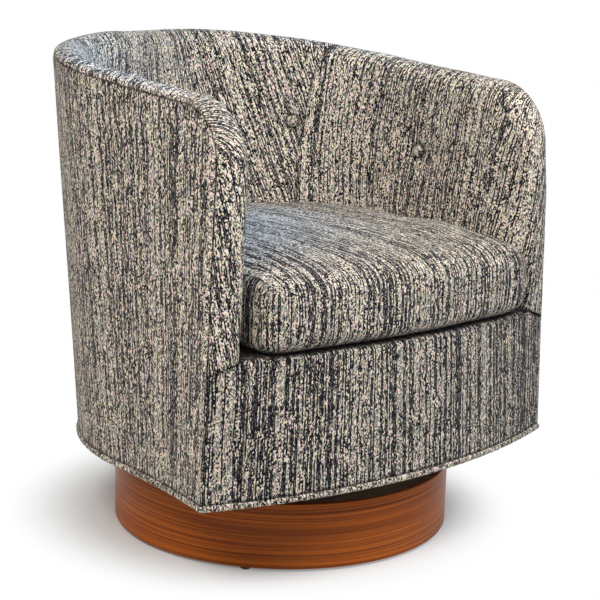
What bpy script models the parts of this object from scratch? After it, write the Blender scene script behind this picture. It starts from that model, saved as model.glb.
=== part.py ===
"""Swivel tub chair: an upholstered tub on a low walnut drum, with a loose seat cushion.

The drum stands on four glides. A pressed steel ball swivel on its board carries the tub, whose frame
is a base board, a seat ring and a top rail joined by posts. Sinuous springs and a deck pad close the
seat, a padded roll and lining run round the inside, and covers close the outside and the front.

Every curved piece follows one outline. Its sides run back from the front corners and end in half an
ellipse, and its sizes change evenly with height, so each upright line of the outside is straight.
"""

import math
from collections import Counter, namedtuple

import bmesh
import bpy
from mathutils import Matrix, Vector

GAP = 0.0003

# Drum base
DRUM_RADIUS = 0.2648
DRUM_HEIGHT = 0.0998
DRUM_WALL = 0.018
DRUM_LIP = 0.009
DRUM_EDGE = 0.002
DRUM_BOARD = 0.018
BOARD_RECESS = 0.003
GLIDE_HEIGHT = 0.004
GLIDE_RADIUS = 0.0085
GLIDE_NAIL_RADIUS = 0.0015
GLIDE_NAIL_LENGTH = 0.016
GLIDE_COUNT = 4
GLIDE_TURN = math.radians(39)

# Swivel
SWIVEL_PLATE_SIZE = 0.190
SWIVEL_PLATE = 0.0025
SWIVEL_PLATE_CORNER = 0.020
RACE_RADIUS = 0.052
RACE_WIDTH = 0.016
RACE_SLOPE = 0.012
BALL_RADIUS = 0.0032
BALL_COUNT = 12
PIN_RADIUS = 0.007
PIN_HEAD_RADIUS = 0.013
PIN_HEAD = 0.003
FASTENER_SPACING = 0.152
FASTENER_RADIUS = 0.003
FASTENER_HEAD_RADIUS = 0.006
FASTENER_HEAD = 0.003
FASTENER_LENGTH = 0.017
HOLE_CLEARANCE = 0.0005

# Outline of the tub at its bottom edge, measured from the swivel's axis
BODY_GAP = 0.0337
BOTTOM_HALF_FRONT = 0.3409
BOTTOM_FRONT_Y = -0.2382
BOTTOM_HALF_SIDE = 0.3218
BOTTOM_SIDE_Y = -0.0077
BOTTOM_BACK_DEPTH = 0.3343
BOTTOM_BOW = 0.0620

# Outline of the tub near its rim, at the upper height where it is given
UPPER_HEIGHT = 0.613
UPPER_HALF_FRONT = 0.3238
UPPER_FRONT_Y = -0.2368
UPPER_HALF_SIDE = 0.3176
UPPER_SIDE_Y = 0.0577
UPPER_BACK_DEPTH = 0.3324

# Heights of the tub
SEAT_RAIL_HEIGHT = 0.3443
SEAT_RAIL_BOW = 0.0533
ARM_SEAM_HEIGHT = 0.6815
BACK_SEAM_HEIGHT = 0.7328
SEAM_RISE_POWER = 1.2
ARM_ROUND = 0.0806

# Upholstery
COVER = 0.006
WELT_RADIUS = 0.0045
ROLL_WIDTH = 0.053
ROLL_HEIGHT = 0.012
ROLL_DEPTH = 0.024
ROLL_CREST = 0.48
ROLL_EASE = 0.001
ROLL_LOW_SHARE = 0.30
ROLL_FRONT_SHARE = 0.65
LINING = 0.014
BACK_SWELL = 0.016
ARM_SWELL = 0.003
MITRE_DROP = 0.018
RAIL_ROLL = 0.008
RAIL_LIP = 0.045
BUTTON_RADIUS = 0.0115
BUTTON_HEIGHT = 0.006
BUTTON_DEPTH = 0.125
BUTTON_SINK = 0.002
TUFT_DEPTH = 0.007
TUFT_REACH = 0.055
BACK_BUTTON_ANGLE = math.radians(40)
ARM_BUTTON_SHARE = 0.80

# Frame inside the covers
FRAME_CLEAR = 0.0028
FRAME_THICKNESS = 0.0245
BASE_BOARD = 0.018
DUST_COVER = 0.0012
SEAT_RING = 0.020
SEAT_RING_WIDTH = 0.084
TOP_RAIL_DEPTH = 0.040
FRONT_BOARD = 0.012
POST_WIDTH = 0.060

# Seat springs and deck
DECK_PAD = 0.0166
SPRING_COUNT = 4
SPRING_SPACING = 0.110
SPRING_WIRE = 0.0019
SPRING_HALF_WIDTH = 0.024
SPRING_PITCH = 0.022
SPRING_CROWN = 0.004
SPRING_SEAT = 0.007
CLIP_WIDTH = 0.018
CLIP_SHEET = 0.001
CLIP_LENGTH = 0.012

# Seat cushion
CUSHION_HEIGHT = 0.112
CUSHION_CROWN = 0.020
CUSHION_CLEAR = 0.003
CUSHION_OVERHANG = 0.009
CUSHION_SQUARE = 0.012
CUSHION_SWELL = 0.006
CUSHION_CORNER = 0.024
CUSHION_ROLL = 0.030
CUSHION_HEEL = 0.012
CUSHION_DRAW_IN = 0.003

# Heights and places worked out from the sizes above
DRUM_BOTTOM = GLIDE_HEIGHT
DRUM_TOP = DRUM_BOTTOM + DRUM_HEIGHT
DRUM_BOARD_TOP = DRUM_TOP - BOARD_RECESS
LOWER_PLATE_Z = DRUM_BOARD_TOP + GAP
BODY_BOTTOM = DRUM_TOP + BODY_GAP
COVER_BOTTOM = BODY_BOTTOM + 2 * WELT_RADIUS + GAP
UPPER_PLATE_Z = BODY_BOTTOM
DUST_COVER_Z = UPPER_PLATE_Z + SWIVEL_PLATE + GAP
BASE_BOARD_Z = DUST_COVER_Z + DUST_COVER + GAP
BASE_BOARD_TOP = BASE_BOARD_Z + BASE_BOARD
DECK_BOTTOM = SEAT_RAIL_HEIGHT - DECK_PAD
SPRING_Z = DECK_BOTTOM - GAP - SPRING_CROWN - SPRING_WIRE
SEAT_RING_TOP = SPRING_Z - SPRING_WIRE - GAP - CLIP_SHEET - GAP
SEAT_RING_Z = SEAT_RING_TOP - SEAT_RING
LINING_BOTTOM = SEAT_RING_TOP + GAP
CUSHION_BOTTOM = SEAT_RAIL_HEIGHT + GAP
FRAME_OUTER = COVER + FRAME_CLEAR
FRAME_INNER = FRAME_OUTER + FRAME_THICKNESS

ARM_ROUND_HEIGHT = ARM_SEAM_HEIGHT - ARM_ROUND
ARM_STEPS = 5
LINING_ROWS = 5

Outline = namedtuple("Outline", "half_front front_y half_side side_y depth bow")
RollPoint = namedtuple("RollPoint", "inset depth mitred")
Column = namedtuple("Column", "roll face")
Finish = namedtuple("Finish", "name colour roughness metallic")

FABRIC = Finish("tweed_fabric", (0.33, 0.29, 0.26), 0.95, 0.0)
DUST_CLOTH = Finish("dust_cloth", (0.03, 0.03, 0.03), 0.95, 0.0)
WALNUT = Finish("walnut", (0.32, 0.11, 0.035), 0.35, 0.0)
PLYWOOD = Finish("plywood", (0.60, 0.44, 0.27), 0.70, 0.0)
HARDWOOD = Finish("hardwood", (0.52, 0.36, 0.20), 0.70, 0.0)
STEEL = Finish("zinc_steel", (0.55, 0.56, 0.58), 0.40, 1.0)
SPRING_STEEL = Finish("spring_steel", (0.20, 0.20, 0.21), 0.45, 1.0)
NYLON = Finish("black_nylon", (0.02, 0.02, 0.02), 0.50, 0.0)
FELT = Finish("deck_felt", (0.50, 0.47, 0.42), 0.95, 0.0)


# Outline of the tub

def blend(a, b, t):
    return a + (b - a) * t


def outline_at(z):
    """The outline's sizes at a height: an even change from the bottom edge to the upper height."""
    t = (z - BODY_BOTTOM) / (UPPER_HEIGHT - BODY_BOTTOM)
    s = (z - BODY_BOTTOM) / (SEAT_RAIL_HEIGHT - BODY_BOTTOM)
    return Outline(
        blend(BOTTOM_HALF_FRONT, UPPER_HALF_FRONT, t),
        blend(BOTTOM_FRONT_Y, UPPER_FRONT_Y, t),
        blend(BOTTOM_HALF_SIDE, UPPER_HALF_SIDE, t),
        blend(BOTTOM_SIDE_Y, UPPER_SIDE_Y, t),
        blend(BOTTOM_BACK_DEPTH, UPPER_BACK_DEPTH, t),
        blend(BOTTOM_BOW, SEAT_RAIL_BOW, min(s, 1.0)),
    )


def side_point(sign, y, z, inset):
    """A point at a depth y on one side, moved in from the outside by the inset."""
    o = outline_at(z)
    run = o.side_y - o.front_y
    share = (o.side_y - y) / run
    x = o.half_side + (o.half_front - o.half_side) * share * share
    slope = -2 * (o.half_front - o.half_side) * share / run
    length = math.hypot(1, slope)
    return Vector((sign * (x - inset / length), y + inset * slope / length, z))


def back_point(sign, angle, z, inset):
    """A point on the back half ellipse. The angle is 0 at the side and a right angle at the middle."""
    o = outline_at(z)
    normal = Vector((math.cos(angle) / o.half_side, math.sin(angle) / o.depth)).normalized()
    x = o.half_side * math.cos(angle) - inset * normal.x
    y = o.side_y + o.depth * math.sin(angle) - inset * normal.y
    return Vector((sign * x, y, z))


class Station:
    """An upright line of the outside: a share of a side's run, or an angle on the back."""

    def __init__(self, sign, share=None, angle=None):
        self.sign = sign
        self.share = share
        self.angle = angle

    def at(self, z, inset=0.0):
        if self.angle is not None:
            return back_point(self.sign, self.angle, z, inset)
        o = outline_at(z)
        return side_point(self.sign, blend(o.front_y, o.side_y, self.share), z, inset)

    def seam(self):
        """The height of the outer seam on this line."""
        z = ARM_SEAM_HEIGHT
        for _ in range(8):
            z = seam_height(self.at(z).y)
        return z


def seam_height(y):
    """The outer seam: round at the arm's front, then rising along the arm to the back."""
    upper = outline_at(UPPER_HEIGHT)
    start = upper.front_y + ARM_ROUND
    rise = (y - start) / (upper.side_y + upper.depth - start)
    rise = min(max(rise, 0.0), 1.0)
    z = blend(ARM_SEAM_HEIGHT, BACK_SEAM_HEIGHT, rise**SEAM_RISE_POWER)
    ahead = min(max((start - y) / ARM_ROUND, 0.0), 1.0)
    return z - ARM_ROUND * (1 - math.sqrt(1 - ahead * ahead))


def front_point(share, z, depth=0.0):
    """A point on the bowed front, at a share of its half width, moved back by the depth."""
    o = outline_at(z)
    bow = o.bow * (1 - share * share)
    return Vector((share * o.half_front, o.front_y - bow + depth, z))


def round_shares(radius, steps):
    """Shares of a side's run that divide the rounded front of an arm into equal angles."""
    o = outline_at(UPPER_HEIGHT)
    run = o.side_y - o.front_y
    turns = [i * math.pi / 2 / steps for i in range(steps + 1)]
    return [radius * (1 - math.cos(turn)) / run for turn in turns]


def wall_stations(shares, angles):
    """Stations from the left front round the back to the right front."""
    left = [Station(-1, share=s) for s in shares]
    left += [Station(-1, angle=a) for a in angles if a < math.pi / 2 - 1e-6]
    middle = [Station(1, angle=math.pi / 2)]
    right = [Station(1, s.share, s.angle) for s in reversed(left)]
    return left + middle + right


ARM_SHARES = round_shares(ARM_ROUND, ARM_STEPS)
SIDE_SHARES = [blend(ARM_SHARES[-1], ARM_BUTTON_SHARE, 0.5), ARM_BUTTON_SHARE]
BACK_ANGLES = [math.radians(10 * i) for i in range(10)]


# Mesh helpers

def material_of(finish):
    found = bpy.data.materials.get(finish.name)
    if found:
        return found
    material = bpy.data.materials.new(finish.name)
    material.use_nodes = True
    shader = material.node_tree.nodes["Principled BSDF"]
    shader.inputs["Base Color"].default_value = (*finish.colour, 1.0)
    shader.inputs["Roughness"].default_value = finish.roughness
    shader.inputs["Metallic"].default_value = finish.metallic
    return material


def add_object(name, data, finish, parent):
    obj = bpy.data.objects.new(name, data)
    bpy.context.scene.collection.objects.link(obj)
    obj.parent = parent
    if finish:
        data.materials.append(material_of(finish))
    return obj


def add_mesh(name, points, faces, finish, parent, smooth=35):
    """A mesh object with its faces turned outwards and its gentle edges shaded smooth."""
    mesh = bpy.data.meshes.new(name)
    mesh.from_pydata([tuple(p) for p in points], [], faces)
    form = bmesh.new()
    form.from_mesh(mesh)
    bmesh.ops.recalc_face_normals(form, faces=form.faces)
    form.to_mesh(mesh)
    form.free()
    mesh.shade_smooth()
    mesh.set_sharp_from_angle(angle=math.radians(smooth))
    return add_object(name, mesh, finish, parent)


def grid_quads(rows, columns, start=0):
    """Faces of a grid whose points are listed row by row."""
    quads = []
    for r in range(rows - 1):
        for c in range(columns - 1):
            a = start + r * columns + c
            quads.append((a, a + 1, a + columns + 1, a + columns))
    return quads


def thick_sheet(name, front, back, quads, finish, parent):
    """A solid between two sheets of the same layout, closed along their free edges."""
    count = len(front)
    edges = Counter()
    for quad in quads:
        for a, b in zip(quad, quad[1:] + quad[:1]):
            edges[frozenset((a, b))] += 1
    faces = list(quads)
    faces += [tuple(count + i for i in reversed(quad)) for quad in quads]
    for quad in quads:
        for a, b in zip(quad, quad[1:] + quad[:1]):
            if edges[frozenset((a, b))] == 1:
                faces.append((b, a, count + a, count + b))
    return add_mesh(name, list(front) + list(back), faces, finish, parent)


def loft(name, loops, finish, parent, caps=True):
    """A solid through closed loops of the same count, capped at its two ends."""
    size = len(loops[0])
    points = [p for loop in loops for p in loop]
    faces = []
    for r in range(len(loops) - 1):
        for c in range(size):
            d = (c + 1) % size
            faces.append((r * size + c, r * size + d, (r + 1) * size + d, (r + 1) * size + c))
    if caps:
        faces.append(tuple(range(size)))
        faces.append(tuple(range((len(loops) - 1) * size, len(loops) * size)))
    return add_mesh(name, points, faces, finish, parent)


def turned(name, profile, steps, finish, parent, closed):
    """A turned solid about Z. The profile runs down its outer side, from top to bottom."""
    mesh = bpy.data.meshes.new(name)
    last = len(profile) - 1
    edges = [(i, i + 1) for i in range(last)]
    if closed:
        edges.append((last, 0))
    mesh.from_pydata([(r, 0.0, z) for r, z in profile], edges, [])
    obj = add_object(name, mesh, finish, parent)
    screw = obj.modifiers.new("turn", "SCREW")
    screw.axis = "Z"
    screw.steps = steps
    screw.render_steps = steps
    screw.use_merge_vertices = True
    screw.merge_threshold = 0.00001
    screw.use_smooth_shade = True
    return obj


def cylinder(name, radius, bottom, top, steps, parent):
    """A plain upright cylinder, used as a cutter."""
    form = bmesh.new()
    bmesh.ops.create_cone(
        form, cap_ends=True, segments=steps, radius1=radius, radius2=radius, depth=top - bottom
    )
    bmesh.ops.translate(form, verts=form.verts, vec=(0, 0, (top + bottom) / 2))
    mesh = bpy.data.meshes.new(name)
    form.to_mesh(mesh)
    form.free()
    return add_object(name, mesh, None, parent)


def cut(obj, cutter):
    """Takes the cutter's shape out of the object with an exact Boolean."""
    cutter.hide_render = True
    cutter.display_type = "WIRE"
    modifier = obj.modifiers.new("cut_" + cutter.name, "BOOLEAN")
    modifier.operation = "DIFFERENCE"
    modifier.object = cutter


def join_into(obj, other):
    """Adds the other object's shape to this one with an exact Boolean."""
    other.hide_render = True
    other.display_type = "WIRE"
    modifier = obj.modifiers.new("join_" + other.name, "BOOLEAN")
    modifier.operation = "UNION"
    modifier.object = other


def fastener_places():
    half = FASTENER_SPACING / 2
    return [(half, half), (-half, half), (-half, -half), (half, -half)]


# Drum base

def build_drum(base):
    """The veneered drum wall with a rebate at its top, and the board that drops into it."""
    inner = DRUM_RADIUS - DRUM_WALL
    rebate = DRUM_RADIUS - DRUM_LIP
    ledge = DRUM_BOARD_TOP - DRUM_BOARD - GAP
    wall = turned(
        "drum_wall",
        [
            (rebate, DRUM_TOP),
            (DRUM_RADIUS - DRUM_EDGE, DRUM_TOP),
            (DRUM_RADIUS, DRUM_TOP - DRUM_EDGE),
            (DRUM_RADIUS, DRUM_BOTTOM + DRUM_EDGE),
            (DRUM_RADIUS - DRUM_EDGE, DRUM_BOTTOM),
            (inner, DRUM_BOTTOM),
            (inner, ledge),
            (rebate, ledge),
        ],
        64, WALNUT, base, closed=True,
    )
    board_radius = rebate - GAP
    board_bottom = ledge + GAP
    board = turned(
        "drum_board",
        [
            (0, DRUM_BOARD_TOP),
            (board_radius, DRUM_BOARD_TOP),
            (board_radius, board_bottom),
            (0, board_bottom),
        ],
        64, PLYWOOD, base, closed=False,
    )
    hole_bottom = LOWER_PLATE_Z - FASTENER_LENGTH - GAP
    for number, (x, y) in enumerate(fastener_places(), 1):
        hole = cylinder(
            f"board_hole_{number}", FASTENER_RADIUS + HOLE_CLEARANCE, hole_bottom, DRUM_TOP, 10, base
        )
        hole.location = (x, y, 0)
        cut(board, hole)
    return wall


def build_glides(base, wall):
    """Nail-on glides under the drum wall, each with its nail in a hole of the wall."""
    middle = DRUM_RADIUS - DRUM_WALL / 2
    for number in range(GLIDE_COUNT):
        turn = GLIDE_TURN + number * 2 * math.pi / GLIDE_COUNT
        place = (middle * math.cos(turn), middle * math.sin(turn), 0)
        shoulder = DRUM_BOTTOM - GAP
        nail_top = DRUM_BOTTOM + GLIDE_NAIL_LENGTH
        glide = turned(
            f"glide_{number + 1}",
            [
                (0, nail_top),
                (GLIDE_NAIL_RADIUS, nail_top),
                (GLIDE_NAIL_RADIUS, shoulder),
                (GLIDE_RADIUS, shoulder),
                (GLIDE_RADIUS, shoulder / 2),
                (GLIDE_RADIUS * 0.75, 0),
                (0, 0),
            ],
            12, NYLON, base, closed=False,
        )
        glide.location = place
        hole = cylinder(
            f"nail_hole_{number + 1}", GLIDE_NAIL_RADIUS + HOLE_CLEARANCE,
            -GLIDE_HEIGHT, nail_top + GAP, 8, base,
        )
        hole.location = place
        cut(wall, hole)


# Swivel

def rounded_square(half, corner, z, steps=3):
    """Points round a square with rounded corners."""
    points = []
    for quarter in range(4):
        sx, sy = [(1, 1), (-1, 1), (-1, -1), (1, -1)][quarter]
        for i in range(steps + 1):
            turn = (quarter + i / steps) * math.pi / 2
            x = sx * (half - corner) + corner * math.cos(turn)
            y = sy * (half - corner) + corner * math.sin(turn)
            points.append(Vector((x, y, z)))
    return points


def pressed_plate(name, plate_z, rise, parent):
    """A square plate with a pressed cone that lifts its ball track towards the other plate."""
    half = SWIVEL_PLATE_SIZE / 2
    top = plate_z + SWIVEL_PLATE
    loops = [rounded_square(half, SWIVEL_PLATE_CORNER, z) for z in (plate_z, top)]
    plate = loft(name, loops, STEEL, parent)
    outer = RACE_RADIUS + RACE_WIDTH / 2
    foot = outer + RACE_SLOPE
    bore = PIN_RADIUS + HOLE_CLEARANCE
    sheet = SWIVEL_PLATE
    if rise > 0:
        profile = [
            (bore, top + rise),
            (outer, top + rise),
            (foot, plate_z + sheet * 0.5),
            (foot - sheet, plate_z),
            (outer - sheet, top + rise - sheet),
            (bore, top + rise - sheet),
        ]
    else:
        profile = [
            (bore, plate_z + rise + sheet),
            (outer - sheet, plate_z + rise + sheet),
            (foot - sheet, top),
            (foot, top - sheet * 0.5),
            (outer, plate_z + rise),
            (bore, plate_z + rise),
        ]
    cone = turned(name + "_cone", profile, 32, None, parent, closed=True)
    opening = cylinder(name + "_opening", foot - sheet * 1.5, plate_z - 0.01, top + 0.01, 32, parent)
    cut(plate, opening)
    join_into(plate, cone)
    for number, (x, y) in enumerate(fastener_places(), 1):
        hole = cylinder(
            f"{name}_hole_{number}", FASTENER_RADIUS + HOLE_CLEARANCE, plate_z - 0.01, top + 0.01, 10, parent
        )
        hole.location = (x, y, 0)
        cut(plate, hole)


def fastener(name, x, y, seat, up, parent):
    """A pan-headed screw. Its head lies on the seat, and its shank runs up or down from there."""
    sign = 1 if up else -1
    head = seat - sign * (GAP + FASTENER_HEAD)
    end = seat + sign * FASTENER_LENGTH
    shoulder = seat - sign * GAP
    profile = [
        (0, head),
        (FASTENER_HEAD_RADIUS * 0.7, head),
        (FASTENER_HEAD_RADIUS, head + sign * FASTENER_HEAD * 0.4),
        (FASTENER_HEAD_RADIUS, shoulder),
        (FASTENER_RADIUS, shoulder),
        (FASTENER_RADIUS, end),
        (0, end),
    ]
    if up:
        profile.reverse()
    screw = turned(name, profile, 10, STEEL, parent, closed=False)
    screw.location = (x, y, 0)


def build_swivel(base, seat):
    """Two pressed plates with a ring of balls between them, held by a headed pin."""
    space = UPPER_PLATE_Z - (LOWER_PLATE_Z + SWIVEL_PLATE)
    rise = (space - 2 * BALL_RADIUS - 2 * GAP) / 2
    pressed_plate("swivel_lower_plate", LOWER_PLATE_Z, rise, base)
    pressed_plate("swivel_upper_plate", UPPER_PLATE_Z, -rise, seat)
    middle = LOWER_PLATE_Z + SWIVEL_PLATE + rise + GAP + BALL_RADIUS

    cage_half = BALL_RADIUS * 0.45
    inner = RACE_RADIUS - RACE_WIDTH / 2
    outer = RACE_RADIUS + RACE_WIDTH / 2
    ring = turned(
        "ball_ring",
        [
            (inner, middle + cage_half),
            (outer, middle + cage_half),
            (outer, middle - cage_half),
            (inner, middle - cage_half),
        ],
        36, NYLON, base, closed=True,
    )
    form = bmesh.new()
    for number in range(BALL_COUNT):
        turn = number * 2 * math.pi / BALL_COUNT
        place = Vector((RACE_RADIUS * math.cos(turn), RACE_RADIUS * math.sin(turn), middle))
        bmesh.ops.create_uvsphere(
            form, u_segments=8, v_segments=6, radius=BALL_RADIUS, matrix=Matrix.Translation(place)
        )
    mesh = bpy.data.meshes.new("balls")
    form.to_mesh(mesh)
    form.free()
    join_into(ring, add_object("balls", mesh, None, base))

    low = LOWER_PLATE_Z + rise - GAP
    high = UPPER_PLATE_Z - rise + SWIVEL_PLATE + GAP
    turned(
        "swivel_pin",
        [
            (0, high + PIN_HEAD),
            (PIN_HEAD_RADIUS * 0.8, high + PIN_HEAD),
            (PIN_HEAD_RADIUS, high + PIN_HEAD * 0.5),
            (PIN_HEAD_RADIUS, high),
            (PIN_RADIUS, high),
            (PIN_RADIUS, low),
            (PIN_HEAD_RADIUS, low),
            (PIN_HEAD_RADIUS, low - PIN_HEAD),
            (0, low - PIN_HEAD),
        ],
        20, STEEL, base, closed=False,
    )
    for number, (x, y) in enumerate(fastener_places(), 1):
        fastener(f"base_screw_{number}", x, y, LOWER_PLATE_Z + SWIVEL_PLATE, False, base)
        fastener(f"seat_screw_{number}", x, y, UPPER_PLATE_Z, True, seat)


# Frame of the tub

def tub_loop(z, inset_at, front_depth):
    """A closed loop round the tub: its sides and back moved in by the inset, its front by the depth."""
    stations = wall_stations([0.35, 0.7], BACK_ANGLES)
    wall = [station.at(z, inset_at(station, z)) for station in stations]
    o = outline_at(z)
    inset = inset_at(stations[0], z)
    corner = wall[0]
    for _ in range(6):
        y = front_point(abs(corner.x) / o.half_front, z, front_depth).y
        corner = side_point(-1, y, z, inset)
        corner.y = y
    loop = [corner] + wall + [Vector((-corner.x, corner.y, z))]
    reach = abs(corner.x) / o.half_front
    for i in range(1, 10):
        loop.append(front_point(reach * (1 - i / 5), z, front_depth))
    return loop


def frame_inset(station, z):
    return FRAME_OUTER


def ring_inset(station, z):
    return FRAME_OUTER + SEAT_RING_WIDTH


def tub_board(name, z, thickness, finish, parent):
    """A board in the outline of the tub."""
    loops = [tub_loop(h, frame_inset, FRAME_OUTER) for h in (z, z + thickness)]
    return loft(name, loops, finish, parent)


def build_base_board(seat):
    """The bottom board that the swivel is screwed to, and the dust cover under it."""
    board = tub_board("base_board", BASE_BOARD_Z, BASE_BOARD, PLYWOOD, seat)
    cloth = tub_board("dust_cover", DUST_COVER_Z, DUST_COVER, DUST_CLOTH, seat)
    for number, (x, y) in enumerate(fastener_places(), 1):
        hole = cylinder(
            f"seat_hole_{number}", FASTENER_RADIUS + HOLE_CLEARANCE,
            UPPER_PLATE_Z, UPPER_PLATE_Z + FASTENER_LENGTH + 2 * GAP, 10, seat,
        )
        hole.location = (x, y, 0)
        cut(board, hole)
        cut(cloth, hole)


def build_seat_ring(seat):
    """The flat ring at seat height that the springs are clipped to."""
    heights = (SEAT_RING_Z, SEAT_RING_TOP)
    outer = [tub_loop(z, frame_inset, FRAME_OUTER) for z in heights]
    inner = [tub_loop(z, ring_inset, FRAME_OUTER + SEAT_RING_WIDTH) for z in heights]
    size = len(outer[0])
    points = outer[0] + outer[1] + inner[1] + inner[0]
    faces = []
    for band in range(4):
        following = (band + 1) % 4
        for c in range(size):
            d = (c + 1) % size
            faces.append((band * size + c, band * size + d, following * size + d, following * size + c))
    add_mesh("seat_ring", points, faces, PLYWOOD, seat)


def wall_piece(name, stations, bottoms, tops, finish, parent):
    """A frame piece between the covers that follows the wall through the given stations."""
    front = []
    back = []
    for heights in (bottoms, tops):
        front += [s.at(z, FRAME_OUTER) for s, z in zip(stations, heights)]
        back += [s.at(z, FRAME_INNER) for s, z in zip(stations, heights)]
    return thick_sheet(name, front, back, grid_quads(2, len(stations)), finish, parent)


def build_top_rail(seat):
    """The bent rail under the roll, from one arm post round the back to the other."""
    o = outline_at(UPPER_HEIGHT)
    start = (ARM_ROUND + GAP) / (o.side_y - o.front_y)
    shares = [start] + [s for s in SIDE_SHARES if s > start]
    stations = wall_stations(shares, BACK_ANGLES)
    top_gap = LINING + 4 * GAP
    tops = [s.seam() - top_gap for s in stations]
    bottoms = [z - TOP_RAIL_DEPTH for z in tops]
    wall_piece("top_rail", stations, bottoms, tops, PLYWOOD, seat)


def build_posts(seat):
    """Posts between the base board, the seat ring and the top rail."""
    low = BASE_BOARD_TOP + GAP
    ring_under = SEAT_RING_Z - GAP
    ring_over = SEAT_RING_TOP + GAP
    under_rail = LINING + 4 * GAP + TOP_RAIL_DEPTH + GAP
    o = outline_at(UPPER_HEIGHT)
    half_turn = math.asin(POST_WIDTH / 2 / o.depth)
    places = {
        "left": (-1, BACK_BUTTON_ANGLE),
        "middle": (1, math.pi / 2),
        "right": (1, BACK_BUTTON_ANGLE),
    }
    for side, (sign, angle) in places.items():
        turns = [angle + half_turn * t for t in (-1, 0, 1)]
        stations = [Station(sign, angle=turn) for turn in turns]
        count = len(stations)
        wall_piece(f"lower_back_post_{side}", stations, [low] * count, [ring_under] * count, HARDWOOD, seat)
        tops = [s.seam() - under_rail for s in stations]
        wall_piece(f"upper_back_post_{side}", stations, [ring_over] * count, tops, HARDWOOD, seat)

    clear = LINING + 4 * GAP
    run = o.side_y - o.front_y
    lower = outline_at(ring_under)
    lower_run = lower.side_y - lower.front_y
    for side, sign in (("left", -1), ("right", 1)):
        turns = [math.pi / 2 * i / ARM_STEPS for i in range(ARM_STEPS + 1)]
        shares = [(ARM_ROUND - (ARM_ROUND - clear) * math.cos(turn)) / run for turn in turns]
        stations = [Station(sign, share=share) for share in shares]
        heights = [ARM_ROUND_HEIGHT + (ARM_ROUND - clear) * math.sin(turn) for turn in turns]
        wall_piece(f"arm_post_{side}", stations, [ring_over] * len(turns), heights, HARDWOOD, seat)
        shares = [(COVER + FRAME_CLEAR) / lower_run, (COVER + FRAME_CLEAR + POST_WIDTH) / lower_run]
        stations = [Station(sign, share=share) for share in shares]
        wall_piece(f"lower_front_post_{side}", stations, [low] * 2, [ring_under] * 2, HARDWOOD, seat)


def build_front_board(seat):
    """The bowed board behind the front cover, between the front posts."""
    low = BASE_BOARD_TOP + GAP
    high = SEAT_RING_Z - GAP
    reach = 1 - (FRAME_INNER + 2 * FRAME_CLEAR) / outline_at(high).half_front
    shares = [reach * (i / 5 - 1) for i in range(11)]
    points = [front_point(s, z, FRAME_OUTER) for z in (low, high) for s in shares]
    behind = [front_point(s, z, FRAME_OUTER + FRONT_BOARD) for z in (low, high) for s in shares]
    thick_sheet("front_board", points, behind, grid_quads(2, len(shares)), PLYWOOD, seat)


# Springs and deck

def spring_run(x):
    """The spring's first and last depth at a distance from the middle of the seat."""
    z = SEAT_RING_TOP
    o = outline_at(z)
    front = front_point(x / o.half_front, z, FRAME_OUTER + SEAT_RING_WIDTH - SPRING_SEAT).y
    inset = FRAME_OUTER + SEAT_RING_WIDTH - SPRING_SEAT
    share = x / (o.half_side - inset)
    back = o.side_y + (o.depth - inset) * math.sqrt(1 - share * share)
    return front, back


def build_springs(seat):
    """Sinuous wire springs from the front of the seat ring to its back, each held by two clips."""
    for number in range(SPRING_COUNT):
        x = SPRING_SPACING * (number - (SPRING_COUNT - 1) / 2)
        front, back = spring_run(abs(x) + SPRING_HALF_WIDTH)
        bars = int((back - front) / SPRING_PITCH)
        pitch = (back - front) / bars
        bend = pitch / 2
        straight = SPRING_HALF_WIDTH - bend
        points = []
        for bar in range(bars + 1):
            sign = 1 if bar % 2 else -1
            y = front + bar * pitch
            points.append((x - sign * straight, y))
            points.append((x + sign * straight, y))
            if bar < bars:
                points.append((x + sign * SPRING_HALF_WIDTH, y + bend))
        curve = bpy.data.curves.new(f"seat_spring_{number + 1}", "CURVE")
        curve.dimensions = "3D"
        spline = curve.splines.new("POLY")
        spline.points.add(len(points) - 1)
        for point, (px, py) in zip(spline.points, points):
            rise = SPRING_CROWN * math.sin(math.pi * (py - front) / (back - front))
            point.co = (px, py, SPRING_Z + rise, 1.0)
        curve.bevel_depth = SPRING_WIRE
        curve.bevel_resolution = 1
        curve.use_fill_caps = True
        add_object(curve.name, curve, SPRING_STEEL, seat)
        add_clip(f"spring_clip_front_{number + 1}", x, front, 1, seat)
        add_clip(f"spring_clip_back_{number + 1}", x, back, -1, seat)


def add_clip(name, x, y, inward, parent):
    """A folded clip: a flat foot on the ring, and a hook that closes over the spring's last bar."""
    bend = SPRING_WIRE + GAP
    outer = bend + CLIP_SHEET
    profile = [(inward * CLIP_LENGTH, -bend, -outer)]
    for turn in (0, 45, 90, 135, 180):
        a = math.radians(turn)
        profile.append((-inward * math.sin(a), -math.cos(a), None))
    inner = []
    outside = []
    for u, low, high in profile:
        if high is None:
            inner.append((y + u * bend, SPRING_Z + low * bend))
            outside.append((y + u * outer, SPRING_Z + low * outer))
        else:
            inner.append((y + u, SPRING_Z + low))
            outside.append((y + u, SPRING_Z + high))
    half = CLIP_WIDTH / 2
    front = [Vector((x + side * half, py, pz)) for side in (-1, 1) for py, pz in inner]
    back = [Vector((x + side * half, py, pz)) for side in (-1, 1) for py, pz in outside]
    thick_sheet(name, front, back, grid_quads(2, len(inner)), STEEL, parent)


def build_deck(seat):
    """The felt and cloth deck over the springs, level with the top of the front rail."""
    def deck_inset(station, z):
        return lining_inset(station, z) + CUSHION_CLEAR

    front = RAIL_LIP + CUSHION_CLEAR / 2
    loops = [tub_loop(z, deck_inset, front) for z in (DECK_BOTTOM, SEAT_RAIL_HEIGHT)]
    loft("deck_pad", loops, FELT, seat)


# Covers and padding

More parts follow.
